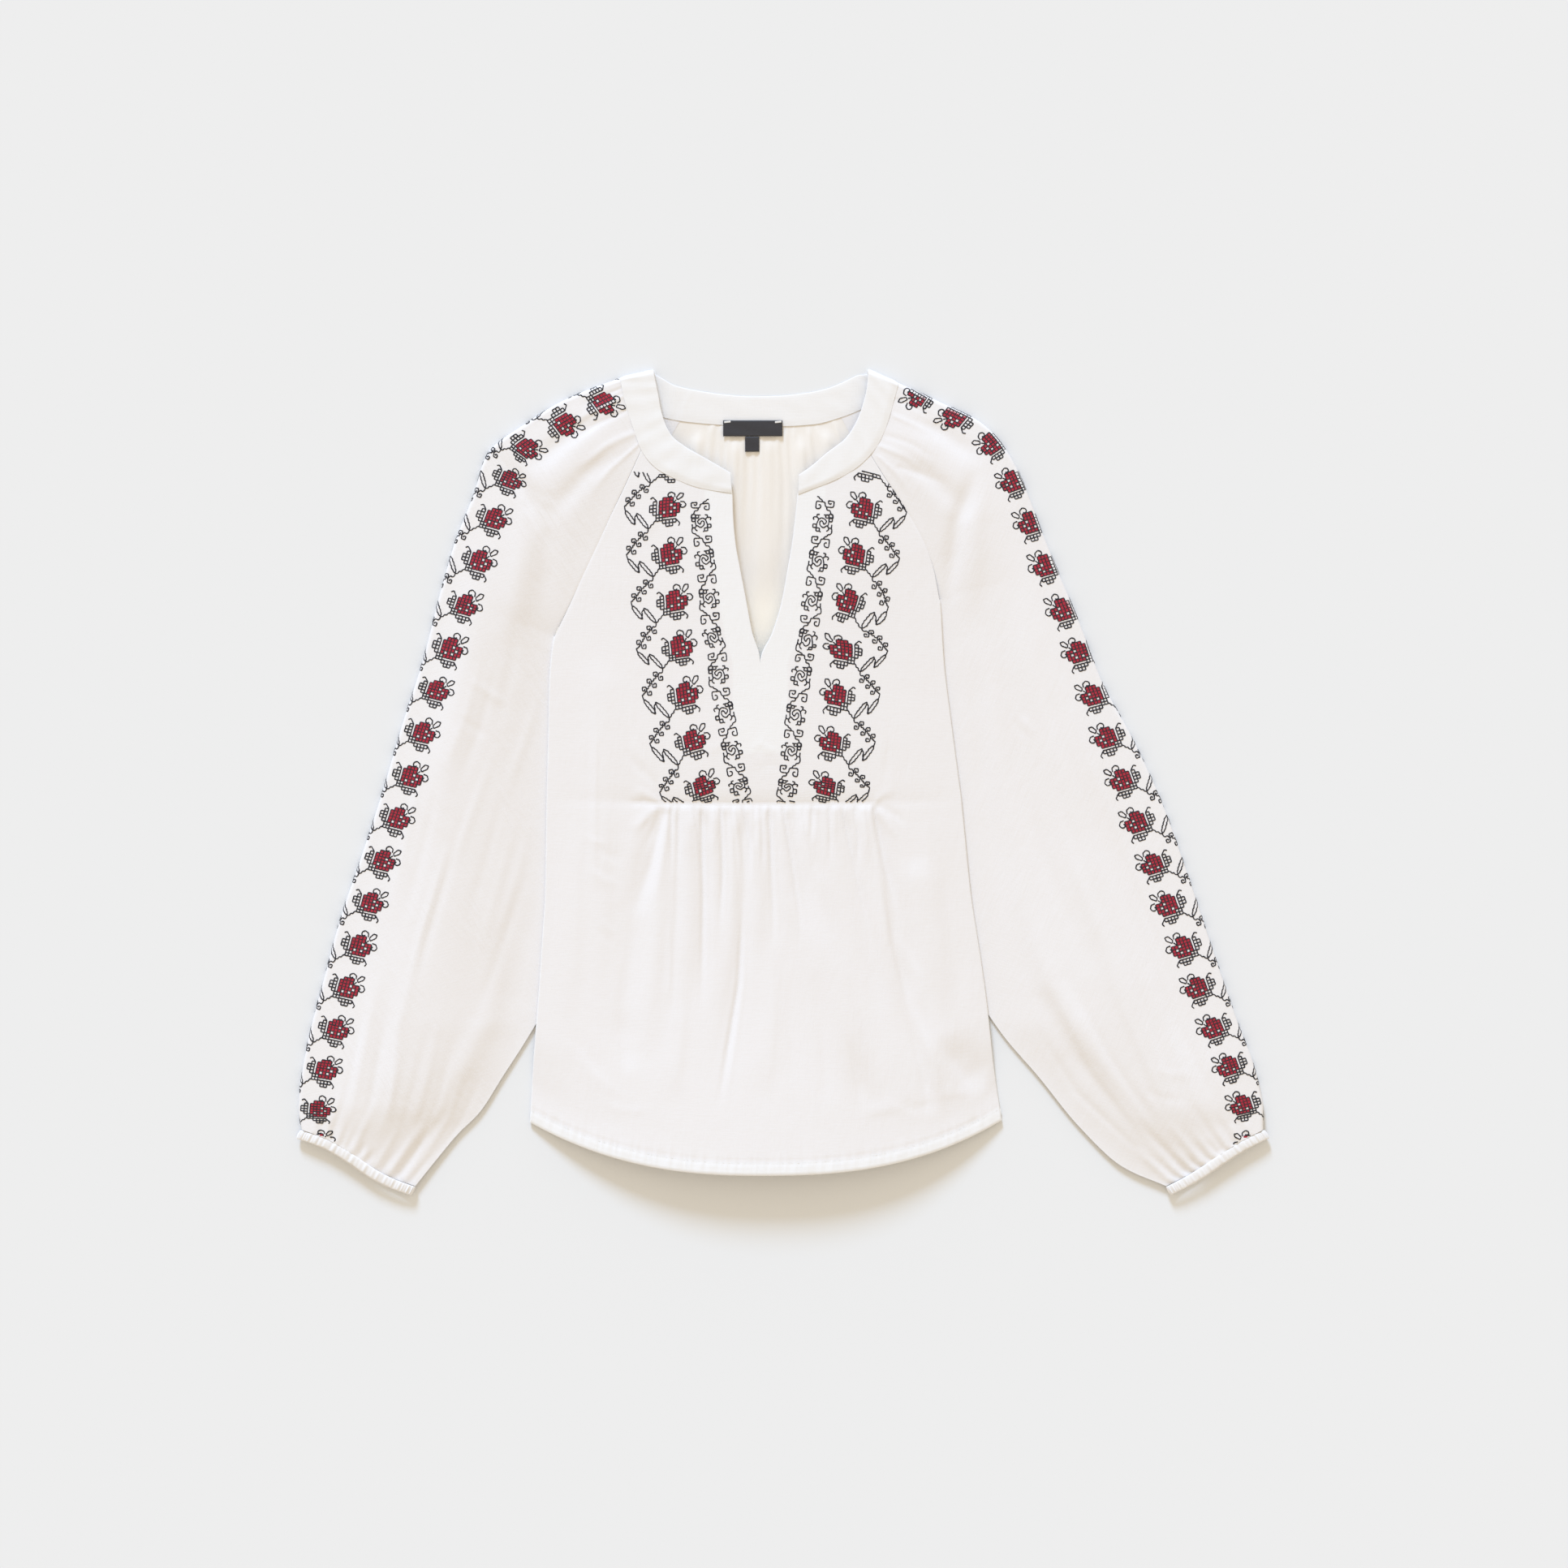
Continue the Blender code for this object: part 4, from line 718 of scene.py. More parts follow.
def crease_front(grid, at, shares):
    """Adds the gathers, folds, seam and puckered hem to one half of the front."""
    x, y = grid[:, :, 0].copy(), grid[:, :, 1].copy()
    guard = smooth(shares / FOLD_FREE_SIDE)[None, :] * smooth((at - SHOULDER_ROWS) / 1.0)[:, None]
    rise = GATHER_SHARE * guard * fold_height(x, y, FRONT_FOLDS)
    inner_guard = smooth(shares / 0.06)[None, :]
    rise += inner_guard * fold_height(x, y, FRONT_CREASES, CREASE_START, CREASE_END, CREASE_LEAN)
    rise += inner_guard * fold_height(x, y, FRONT_SOFT, SOFT_START, SOFT_END, CREASE_LEAN)
    seam_y = np.array([np.interp(BIB_SEAM_ROW, at, y[:, column]) for column in range(y.shape[1])])
    first_x, last_x = BIB_SEAM_ENDS
    along_seam = smooth((x - first_x) / SEAM_END_FADE) * smooth((last_x - x) / SEAM_END_FADE)
    below = seam_y[None, :] - y
    rise -= SEAM_GROOVE * along_seam * np.exp(-(below / SEAM_GROOVE_WIDTH) ** 2)
    puff = smooth(below / PUFF_START) * np.exp(-np.maximum(below, 0.0) / PUFF_REACH)
    rise += GATHER_PUFF * along_seam * puff
    edge_dip = SEAM_DIP * np.exp(-(shares * FRONT_WIDE / SEAM_DIP_WIDE) ** 2)[None, :]
    edge_dip = edge_dip * (at <= SHOULDER_ROWS)[:, None]
    to_hem = np.abs(y - y[-1][None, :])
    uneven = 2.1 * np.sin(shares * 37.0) + 1.3 * np.sin(shares * 83.0)
    pucker = HEM_PUCKER * np.sin(shares * HEM_PUCKERS + uneven)[None, :]
    pucker = pucker * np.exp(-((to_hem - HEM_DEEP * 0.8) / HEM_PUCKER_REACH) ** 2)
    hem_line = -HEM_GROOVE * np.exp(-((to_hem - HEM_DEEP) / HEM_GROOVE_WIDTH) ** 2)
    hem_line = hem_line + HEM_THICK * (to_hem < HEM_DEEP)
    grid[:, :, 2] += rise - edge_dip + pucker + hem_line
    return grid


def rolled_edge(line, outward, profile):
    """A strip that carries a line of points round a turned edge and back underneath."""
    strip = []
    for inward, up in profile:
        moved = line.copy()
        moved[:, :2] -= outward * inward
        moved[:, 2] += up
        strip.append(moved)
    return np.array(strip)


def facing_mark(grid, hand):
    """Where the facing lies double behind the slit, and the turned hem behind the hem."""
    x, y = grid[:, :, 0], grid[:, :, 1]
    heights = [row.y for row in SLIT[::-1]]
    slit = np.interp(y, heights, [getattr(row, hand) for row in SLIT[::-1]])
    away = np.abs(x - slit)
    facing = smooth((FACING_REACH - away) / FACING_EDGE) * smooth((y - FACING_FOOT) / FACING_EDGE)
    hem = smooth((HEM_DEEP + HEM_OVER - np.abs(y - y[-1][None, :])) / HEM_EDGE)
    return np.maximum(facing, hem)


front_grids = {}
front_patches, front_marks = [], []
for hand in ("righthand", "lefthand"):
    grid, at, shares = front_half(hand)
    grid = crease_front(grid, at, shares)
    front_grids[hand] = (grid, at)
    front_patches.append(grid)
    front_marks.append(facing_mark(grid, hand))
    sideways = 1.0 if hand == "righthand" else -1.0
    side = grid[at >= SHOULDER_ROWS][:, 0]
    roll = rolled_edge(side, np.array([-sideways, 0.0]), SIDE_ROLL)
    slit = grid[at <= SHOULDER_ROWS][:, -1]
    fade = smooth((slit[:, 1] - SLIT[-1].y) / SLIT_ROLL_FADE)[:, None]
    lip = rolled_edge(slit, np.array([sideways, 0.0]), SLIT_ROLL)
    lip = slit[None] + (lip - slit[None]) * fade[None]
    hem = rolled_edge(grid[-1], np.array([0.0, -1.0]), HEM_ROLL)
    for strip in (roll, lip, hem):
        front_patches.append(strip)
        front_marks.append(np.ones(strip.shape[:2]))
front_cotton = cotton("cotton voile, front")
front = cloth_piece("blouse_front", front_patches, front_cotton, front_marks)
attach(front, "root")
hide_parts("front")


# The sleeves: raglan sleeves of the same voile, each one piece folded along its outer edge and
# closed by an underarm seam. They are gathered to the neckband, run over the shoulder and are
# gathered again into the wrist. The underarm part lies tucked under the body.
SLEEVE_FRONT_CELLS, SLEEVE_TURN_CELLS, SLEEVE_BACK_CELLS = 66, 10, 26
SLEEVE_ROW_STEP = 2.6
SLEEVE_SEAM_BEND = ((0.0, 1.0), (0.5, 0.55), (1.0, 0.2), (1.5, 0.0))
CROWN_ROUND, CROWN_FREE_EDGE = 1.5, 0.12
WRIST_SETTLE_ROWS, WRIST_SETTLE_LEFT = 2, 0.35
BACK_RAISE_FROM, BACK_RAISE_AFTER = 0.6, 5
SEAM_LAYER = 1.5
SLEEVE_WIDE = 130.0
SMALL_FOLD_FREE, BACK_CREASE_FREE = 0.05, 0.2
SleeveRow = namedtuple(
    "SleeveRow", "outer_x outer_y inner_x inner_y crown inner_height fold_height tuck")
SLEEVE = {
    "righthand": [
        SleeveRow(-138.3, 345.5, -120.5, 284.5, 0.2, 7, 6.4, 0),
        SleeveRow(-182.5, 328, -133.5, 255, 2.5, 7, 6.2, 0),
        SleeveRow(-219, 306, -146, 228.5, 3.5, 6.8, 6.2, 0),
        SleeveRow(-251, 280.5, -157.5, 203, 4, 6.5, 6.2, 0),
        SleeveRow(-263, 245, -169.5, 177.5, 4, 6.2, 6.2, 0),
        SleeveRow(-278.5, 205.5, -181, 152, 4.5, 5.2, 6.2, 0),
        SleeveRow(-291, 162.5, -193.5, 126, 5, 3.3, 6.2, 2),
        SleeveRow(-306.5, 102.5, -180.5, 80.5, 5.5, 2.3, 6.2, 18),
        SleeveRow(-322.5, 53, -172, 28.5, 6, 2.2, 6.2, 32),
        SleeveRow(-341, -9.5, -167.5, -33.5, 6.5, 2.2, 6.2, 37),
        SleeveRow(-359, -64.5, -170, -88.5, 7, 2.2, 6.2, 37),
        SleeveRow(-375.5, -113, -179.5, -137, 7.5, 2.2, 6.2, 36),
        SleeveRow(-389.5, -164.5, -197, -180, 8.5, 2.2, 6.2, 26),
        SleeveRow(-400.5, -206, -216, -214, 9, 2.2, 6.2, 8),
        SleeveRow(-407.5, -240, -237.5, -247.5, 9, 2.6, 6.2, 0),
        SleeveRow(-410.5, -262, -257.5, -278.5, 8.5, 2.8, 6, 0),
        SleeveRow(-411, -275, -276, -297, 7, 3, 6, 0),
        SleeveRow(-410, -285, -296, -321, 4, 3.5, 6.5, 0),
        SleeveRow(-408.5, -293, -312, -341, 1.9, 4, 7, 0),
    ],
    "lefthand": [
        SleeveRow(98.3, 341, 75, 280.5, 0.2, 7, 6.4, 0),
        SleeveRow(135, 324, 86.5, 261, 2.5, 7, 6.2, 0),
        SleeveRow(170, 306, 98.5, 242.5, 3.5, 6.8, 6.2, 0),
        SleeveRow(192, 280.5, 110, 224, 4, 6.5, 6.2, 0),
        SleeveRow(205.5, 253, 119.5, 206, 4, 6.2, 6.2, 0),
        SleeveRow(218.5, 218.5, 127.5, 184, 4, 5.2, 6.2, 0),
        SleeveRow(231.5, 186, 133, 156.5, 4, 3.3, 6.2, 2),
        SleeveRow(252, 137, 123, 104.5, 4.5, 2.3, 6.2, 17),
        SleeveRow(271, 87.5, 112, 49.5, 5, 2.2, 6.2, 38),
        SleeveRow(297, 39, 118, -13, 5.5, 2.2, 6.2, 40),
        SleeveRow(321, -13, 122, -64.5, 6, 2.2, 6.2, 40),
        SleeveRow(341, -68, 130, -109.5, 7, 2.2, 6.2, 38),
        SleeveRow(360.5, -126.5, 145, -144, 8, 2.2, 6.2, 28),
        SleeveRow(375, -169.5, 164, -178.5, 9, 2.2, 6.2, 14),
        SleeveRow(388, -206.5, 187, -213, 9, 2.4, 6.2, 0),
        SleeveRow(398, -232, 217, -248, 9, 2.6, 6.2, 0),
        SleeveRow(404.5, -256, 252, -291, 8.5, 2.8, 6, 0),
        SleeveRow(408, -277, 289, -325, 4.5, 3.5, 6.5, 0),
        SleeveRow(408, -293, 325.5, -341, 1.9, 4, 7, 0),
    ],
}
SLEEVE_FOLDS = {
    "righthand": [
        Fold(-243, 286, -222, 254, -204, 214, -2.4, 7, 8),
        Fold(-138, 315, -176, 300, -222, 262, -1.8, 6, 10),
        Fold(-128, 292, -168, 262, -204, 220, -1.6, 6, 10),
        Fold(-206, 268, -200, 215, -203, 130, -1.8, 9, 12),
        Fold(-222, 240, -222, 190, -232, 110, 1.4, 9, 12),
        Fold(-255, 215, -268, 100, -300, -60, 1.8, 13, 16),
        Fold(-312, -120, -326, -215, -338, -310, 0.7, 11, 6.5),
        Fold(-340, -120, -354, -215, -366, -300, 0.6, 10, 6),
        Fold(-328, -150, -342, -230, -352, -306, -0.6, 8, 5),
        Fold(-236, -60, -250, -200, -318, -318, 1.3, 14, 8),
        Fold(-262, -180, -290, -260, -330, -318, -0.5, 11, 6),
    ],
    "lefthand": [
        Fold(100, 312, 136, 298, 172, 270, -1.8, 6, 10),
        Fold(88, 284, 124, 262, 160, 226, -1.6, 6, 10),
        Fold(166, 276, 148, 222, 140, 150, -2.4, 6, 8),
        Fold(178, 268, 163, 222, 160, 130, 1.3, 7, 10),
        Fold(196, 215, 214, 100, 262, -60, 1.8, 14, 18),
        Fold(222, 60, 262, -100, 330, -290, 2, 15, 8),
        Fold(262, 40, 306, -110, 358, -280, -2.2, 12, 6),
        Fold(190, -40, 228, -170, 312, -308, 2.4, 14, 7),
        Fold(196, -130, 250, -230, 320, -316, -1.32, 11, 6),
    ],
}
# Creases that show on the sleeves: gathers at the neckband, soft ridges and gathers at the wrist
SLEEVE_GATHERS = {
    "righthand": [
        Fold(-125, 300, -150, 286, -180, 262, 0.64, 2, 4),
        Fold(-122, 290, -146, 268, -168, 240, 0.48, 1.8, 3.4),
        Fold(-130, 314, -158, 304, -190, 284, -0.56, 1.8, 3.6),
        Fold(-134, 326, -160, 316, -186, 302, 0.56, 1.8, 3.4),
        Fold(-136, 334, -158, 327, -176, 318, -0.40, 1.6, 2.8),
    ],
    "lefthand": [
        Fold(80, 290, 104, 278, 128, 258, 0.48, 2, 4),
        Fold(84, 298, 110, 288, 138, 270, -0.36, 1.8, 3.6),
        Fold(90, 312, 112, 304, 136, 292, 0.36, 1.8, 3.4),
        Fold(94, 326, 114, 318, 134, 308, -0.30, 1.8, 3),
        Fold(80, 280, 98, 262, 112, 240, 0.42, 1.8, 3.4),
        Fold(96, 270, 120, 262, 150, 250, -0.36, 2.2, 4),
    ],
}
SLEEVE_CREASES = {
    "righthand": [
        Fold(-224, 258, -205, 246, -186, 240, -0.3, 2.4, 4),
        Fold(-226, 248, -204, 228, -188, 205, 0.35, 2.4, 4),
        Fold(-232, 262, -222, 244, -212, 214, 0.7, 2.6, 5),
        Fold(-280, -40, -306.7, -130, -320, -190, 1, 2.4, 3.4),
        Fold(-262, 0, -292, -100, -316, -180, -0.8, 3.2, 5),
        Fold(-300, 40, -318, -40, -334, -120, 0.6, 3, 5),
        Fold(-288, 20, -306, -60, -324, -130, -0.6, 3, 5),
        Fold(-252, 120, -268, 60, -290, 0, 0.5, 3, 5),
        Fold(-240, 110, -256, 50, -278, -10, -0.5, 3, 5),
        Fold(-212, -20, -226, -80, -246, -140, 0.5, 3, 5),
        Fold(-310, -152, -325, -202, -336, -310, 0.59, 3.6, 3),
        Fold(-341, -155, -358, -240, -369, -300, 0.55, 3.4, 2.6),
        Fold(-352, -160, -364, -236, -378, -296, -0.42, 2.6, 2.4),
        Fold(-333, -180, -346, -250, -356, -304, -0.46, 3, 2.6),
        Fold(-318, -200, -330, -260, -345, -308, 0.38, 2.6, 2.4),
        Fold(-296, -190, -312, -255, -330, -316, -0.46, 3.4, 2.6),
        Fold(-286, -170, -300, -245, -322, -320, 0.42, 3, 2.4),
        Fold(-276, -205, -292, -268, -317, -326, -0.42, 3, 2.6),
        Fold(-264, -225, -284, -284, -313, -330, 0.46, 3.2, 2.4),
        Fold(-250, -235, -276, -292, -308, -333, -0.38, 2.8, 2.2),
        Fold(-372, -250, -378, -275, -386, -297, 0.34, 2.2, 2),
        Fold(-240, 40, -262, -20, -290, -90, 0.5, 3, 5),
        Fold(-232, 10, -250, -60, -270, -130, -0.5, 3, 5),
        Fold(-222, -10, -240, -80, -262, -160, 0.5, 3, 5),
        Fold(-214, -60, -236, -130, -264, -210, -0.6, 3, 5),
        Fold(-204, 90, -218, 40, -240, -20, 0.5, 3, 5),
        Fold(-226, 150, -230, 100, -244, 40, -0.5, 4, 6),
        Fold(-268, 92, -250, 78, -232, 66, 0.5, 2.4, 4),
        Fold(-278, 60, -262, 48, -246, 38, -0.4, 2.4, 4),
    ],
    "lefthand": [
        Fold(200, 60, 206, 52, 212, 40, 0.5, 2.2, 2.6),
        Fold(196, 58, 200, 48, 205, 38, -0.35, 2, 2.4),
        Fold(206, 175, 258, 22, 340, -177, 0.8, 2.2, 3.2),
        Fold(196, 170, 240, 30, 318, -170, -0.7, 4, 6),
        Fold(168, 150, 184, 20, 214, -130, 0.9, 5, 8),
        Fold(158, 110, 170, 0, 192, -130, -0.9, 4, 7),
        Fold(182, 130, 204, -10, 240, -140, -0.7, 4, 7),
        Fold(212, 110, 244, -20, 292, -150, 0.6, 3.4, 6),
        Fold(276, -52, 306, -120, 348, -232, 0.7, 2.2, 3),
        Fold(226, 0, 246, -70, 286, -170, 0.7, 4, 7),
        Fold(206, 20, 222, -60, 258, -160, -0.6, 4, 7),
        Fold(262, -120, 292, -200, 334, -294, 0.54, 3.6, 3),
        Fold(284, -130, 312, -205, 346, -288, -0.54, 3.4, 2.8),
        Fold(306, -150, 328, -215, 356, -284, 0.54, 3.2, 2.6),
        Fold(330, -190, 350, -235, 372, -284, -0.48, 2.8, 2.4),
        Fold(236, -150, 276, -230, 326, -304, -0.6, 3.4, 2.6),
        Fold(216, -150, 262, -240, 320, -314, 0.6, 3.2, 2.6),
        Fold(204, -190, 250, -262, 318, -326, -0.54, 3, 2.4),
        Fold(352, -206, 364, -240, 384, -286, 0.48, 2.6, 2.2),
        Fold(310, -240, 330, -246, 352, -246, 0.25, 3, 4),
        Fold(302, -256, 322, -266, 344, -268, -0.22, 2.6, 3.6),
        Fold(296, -236, 306, -262, 322, -284, 0.48, 2.6, 3),
    ],
}
# Small gathers that fan out from each wrist: where each starts along the wrist (0 at the
# underarm), how far it runs up the sleeve, its height and its width
Gather = namedtuple("Gather", "place length height width")
WRIST_GATHERS = {
    "righthand": [
        Gather(0.05, 42, -0.45, 1.8), Gather(0.10, 30, 0.4, 1.8), Gather(0.16, 78, -1, 2.8),
        Gather(0.23, 62, 0.9, 2.6), Gather(0.29, 26, -0.5, 1.8), Gather(0.35, 48, 0.5, 2.2),
        Gather(0.42, 15, -0.75, 1.9), Gather(0.465, 13, 0.5, 1.6), Gather(0.505, 18, -0.7, 1.7),
        Gather(0.56, 58, 0.7, 2.4), Gather(0.61, 22, -0.5, 1.7), Gather(0.66, 38, -0.45, 2),
        Gather(0.70, 24, 0.4, 1.7), Gather(0.75, 46, -0.5, 2), Gather(0.80, 30, 0.45, 1.8),
        Gather(0.85, 18, -0.4, 1.7), Gather(0.90, 26, 0.35, 1.7),
    ],
    "lefthand": [
        Gather(0.06, 52, 0.9, 2.4), Gather(0.12, 34, -0.8, 2), Gather(0.17, 20, 0.6, 1.8),
        Gather(0.22, 70, -1.3, 3), Gather(0.28, 30, 0.8, 2), Gather(0.33, 16, -0.9, 1.8),
        Gather(0.38, 56, 1, 2.6), Gather(0.44, 24, -0.8, 1.9), Gather(0.49, 40, 0.7, 2.1),
        Gather(0.54, 18, -0.9, 1.8), Gather(0.59, 62, -0.9, 2.8), Gather(0.64, 28, 0.7, 1.9),
        Gather(0.70, 36, -0.7, 2), Gather(0.76, 22, 0.6, 1.8), Gather(0.82, 30, -0.6, 1.9),
        Gather(0.88, 18, 0.5, 1.7),
    ],
}
FAN_ROWS = 4
GATHER_END, GATHER_SPREAD = 0.6, 1.5
WRIST_BEND = {"righthand": 2.6, "lefthand": 1.2}
WRIST_BEND_ROWS = 2.5
BACK_LAYER_CREASES = {
    "righthand": [
        Fold(-330, -60, -350, -180, -366, -288, 1.2, 4, 3),
        Fold(-290, 20, -310, -120, -344, -300, 1, 4, 3),
        Fold(-240, 40, -262, -120, -324, -318, 1.2, 4, 3),
    ],
    "lefthand": [
        Fold(300, -20, 340, -140, 374, -280, 1.2, 4, 3),
        Fold(240, 20, 290, -130, 350, -290, 1, 4, 3),
        Fold(180, 0, 230, -140, 330, -312, 1.2, 4, 3),
    ],
}


def sleeve_row(table, at):
    """One line across a sleeve, read from the smooth table."""
    row = curve_through(np.array(table), at)[0]
    if at <= SHOULDER_ROWS:
        raglan = curve_through(np.array(table[:SHOULDER_ROWS + 1]), at)[0]
        row[[2, 3, 5]] = raglan[[2, 3, 5]]
    return SleeveRow(*row)


def wrist_folds(hand):
    """Folds that fan out from the wrist up the sleeve."""
    end, higher = SLEEVE[hand][-1], SLEEVE[hand][-1 - FAN_ROWS]
    inner, outer = np.array([end.inner_x, end.inner_y]), np.array([end.outer_x, end.outer_y])
    inner_way = np.array([higher.inner_x, higher.inner_y]) - inner
    outer_way = np.array([higher.outer_x, higher.outer_y]) - outer
    folds = []
    for gather in WRIST_GATHERS[hand]:
        start = inner + (outer - inner) * gather.place
        way = inner_way + (outer_way - inner_way) * gather.place
        finish = start + way / np.linalg.norm(way) * gather.length
        sizes = gather.height, gather.width, GATHER_SPREAD * gather.width
        folds.append(Fold(*start, *(start + finish) / 2, *finish, *sizes))
    return folds


def wrist_line(sleeve_end):
    """Middle and half length of a wrist, the way along it and the way down off the sleeve."""
    inner, outer = sleeve_end[0], sleeve_end[SLEEVE_FRONT_CELLS + 2 + SLEEVE_TURN_CELLS // 2]
    middle = (inner[:2] + outer[:2]) / 2
    reach = np.linalg.norm(outer[:2] - inner[:2]) / 2
    along = (outer[:2] - inner[:2]) / (2 * reach)
    down = np.array([along[1], -along[0]])
    return middle, reach, along, -down if down[1] > 0 else down


def wrist_bend(points, line, hand):
    """How far the slack elastic lets the wrist bend off its straight line."""
    middle, reach, along, down = line
    share = ((points - middle) @ along / reach + 1) / 2
    return (WRIST_BEND[hand] * np.sin(2 * np.pi * share))[..., None] * down


def sleeve_grid(hand):
    """Points of a sleeve: the front layer, round the outer fold, then the back layer."""
    table = SLEEVE[hand]
    sections = np.array(table)
    centre = (sections[:, 0:2] + sections[:, 2:4])[:, None, :] / 2
    places = row_places(centre, SLEEVE_ROW_STEP)
    last = len(table) - 1
    front_shares = edge_shares(SLEEVE_WIDE, SLEEVE_FRONT_CELLS)
    turn_angles = np.pi * np.arange(1, SLEEVE_TURN_CELLS + 1) / SLEEVE_TURN_CELLS
    back_shares = np.arange(1, SLEEVE_BACK_CELLS + 1) / SLEEVE_BACK_CELLS
    gathers = wrist_folds(hand)
    grid = []
    for at in places:
        row = sleeve_row(table, at)
        outer = np.array([row.outer_x, row.outer_y])
        inner = np.array([row.inner_x, row.inner_y])
        width = np.linalg.norm(inner - outer)
        across = (inner - outer) / width
        half = (row.fold_height - CLOTH_MIDDLE) / 2
        back_inner = inner
        if at < SHOULDER_ROWS:
            back_inner = back_raglan(hand, [at / SHOULDER_ROWS])[0]
        flat = inner + (outer + across * half - inner) * front_shares[:, None]
        away = np.linalg.norm(flat - inner, axis=1)
        rise = np.clip((away - row.tuck) / (width - row.tuck), 0.0, 1.0)
        height = row.inner_height + (row.fold_height - row.inner_height) * smooth(rise)
        height += row.crown * np.sin(np.pi * rise) ** CROWN_ROUND
        guard = smooth(rise / CROWN_FREE_EDGE) * smooth((1 - rise) / CROWN_FREE_EDGE)
        guard *= smooth((last - at) / WRIST_SETTLE_ROWS + WRIST_SETTLE_LEFT)
        height += guard * fold_height(flat[:, 0], flat[:, 1], SLEEVE_FOLDS[hand], SOFT_START, SOFT_END)
        small_guard = smooth(rise / SMALL_FOLD_FREE) * smooth((1 - rise) / SMALL_FOLD_FREE)
        small = fold_height(flat[:, 0], flat[:, 1], SLEEVE_GATHERS[hand], CREASE_START, CREASE_END)
        small += fold_height(flat[:, 0], flat[:, 1], SLEEVE_CREASES[hand], SOFT_START, SOFT_END)
        small += fold_height(flat[:, 0], flat[:, 1], gathers, CREASE_START, GATHER_END)
        height += small_guard * small
        if at < SHOULDER_ROWS:
            height -= SEAM_DIP * np.exp(-(away / SEAM_DIP_WIDE) ** 2)
        front_layer = np.column_stack([flat, height])
        fold = outer + across * (half * (1 - np.sin(turn_angles)))[:, None]
        turn = np.column_stack([fold, CLOTH_MIDDLE + half * (1 + np.cos(turn_angles))])
        start = outer + across * half
        under = start + (back_inner - start) * back_shares[:, None]
        raised = 0.0
        if at > SHOULDER_ROWS + BACK_RAISE_AFTER:
            raised = max(0.0, row.inner_height - SEAM_LAYER - CLOTH_MIDDLE)
        lift = raised * smooth((back_shares - BACK_RAISE_FROM) / (1 - BACK_RAISE_FROM))
        hollow = np.maximum(0.0, fold_height(under[:, 0], under[:, 1], BACK_LAYER_CREASES[hand]))
        hollow *= smooth(back_shares / BACK_CREASE_FREE) * smooth((1 - back_shares) / BACK_CREASE_FREE)
        back_layer = np.column_stack([under, CLOTH_MIDDLE + lift + hollow])
        grid.append(np.vstack([front_layer, turn, back_layer]))
    grid = np.array(grid)
    front_place, back_place = RAGLAN_FRONT[hand], RAGLAN_BACK[hand]
    turn_in, turn_out = SHOULDER_TURN[hand]
    round_neck = np.concatenate([
        front_place + (turn_in - front_place) * front_shares,
        turn_in + (turn_out - turn_in) * np.arange(1, SLEEVE_TURN_CELLS + 1) / SLEEVE_TURN_CELLS,
        turn_out + (back_place - turn_out) * back_shares,
    ])
    bend = neck_seam(round_neck, None, UNDER_BAND) - grid[0]
    bend[:, 2] -= 0.5 * (round_neck != back_place) * (grid[0][:, 2] > 3.0)
    reach = np.interp(places, *zip(*SLEEVE_SEAM_BEND))
    grid = grid + bend[None] * reach[:, None, None]
    near_wrist = smooth((places - last) / WRIST_BEND_ROWS + 1)[:, None, None]
    grid[:, :, :2] += near_wrist * wrist_bend(grid[-1][:, :2], wrist_line(grid[-1]), hand)[None]
    return grid, places


SLEEVE_GRAIN = {"righthand": -17.0, "lefthand": 19.0}
SLEEVE_CRINKLE = {"righthand": 1.1, "lefthand": 0.5}
CRINKLE_TURN = {"righthand": -27.0, "lefthand": 21.0}
sleeve_grids = {}
for hand in ("righthand", "lefthand"):
    grid, places = sleeve_grid(hand)
    sleeve_grids[hand] = (grid, places)
    sleeve_cotton = cotton("cotton voile, sleeve " + hand, grain_angle=SLEEVE_GRAIN[hand],
                           crinkle=SLEEVE_CRINKLE[hand], crinkle_angle=CRINKLE_TURN[hand])
    sleeve = cloth_piece("blouse_sleeve_" + hand, [grid], sleeve_cotton)
    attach(sleeve, "root")
    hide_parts("sleeve_" + hand)


# The wrist casings: the sleeve's own end turned up and stitched over a narrow elastic, which draws
# it into a ruched roll. Each one lies as a flat ring at the end of its sleeve.
CASING_DEPTH = 8.2
CASING_LAP = 0.3
CASING_HALF_HEIGHT, CASING_FLATNESS = 3.2, 0.5
CASING_HALF_THICK, CASING_REST = 0.8, 0.35
CASING_WANDER, CASING_DOUBLED = 0.04, 0.55
CASING_STEPS, CASING_SECTION = 340, 20
CASING_BACK_SHOWS = 1.7
CASING_RUCHES = [(74, 0.2, 0.4), (47, 0.2, 1.9), (121, 0.08, 0.7), (29, 0.2, 2.6)]


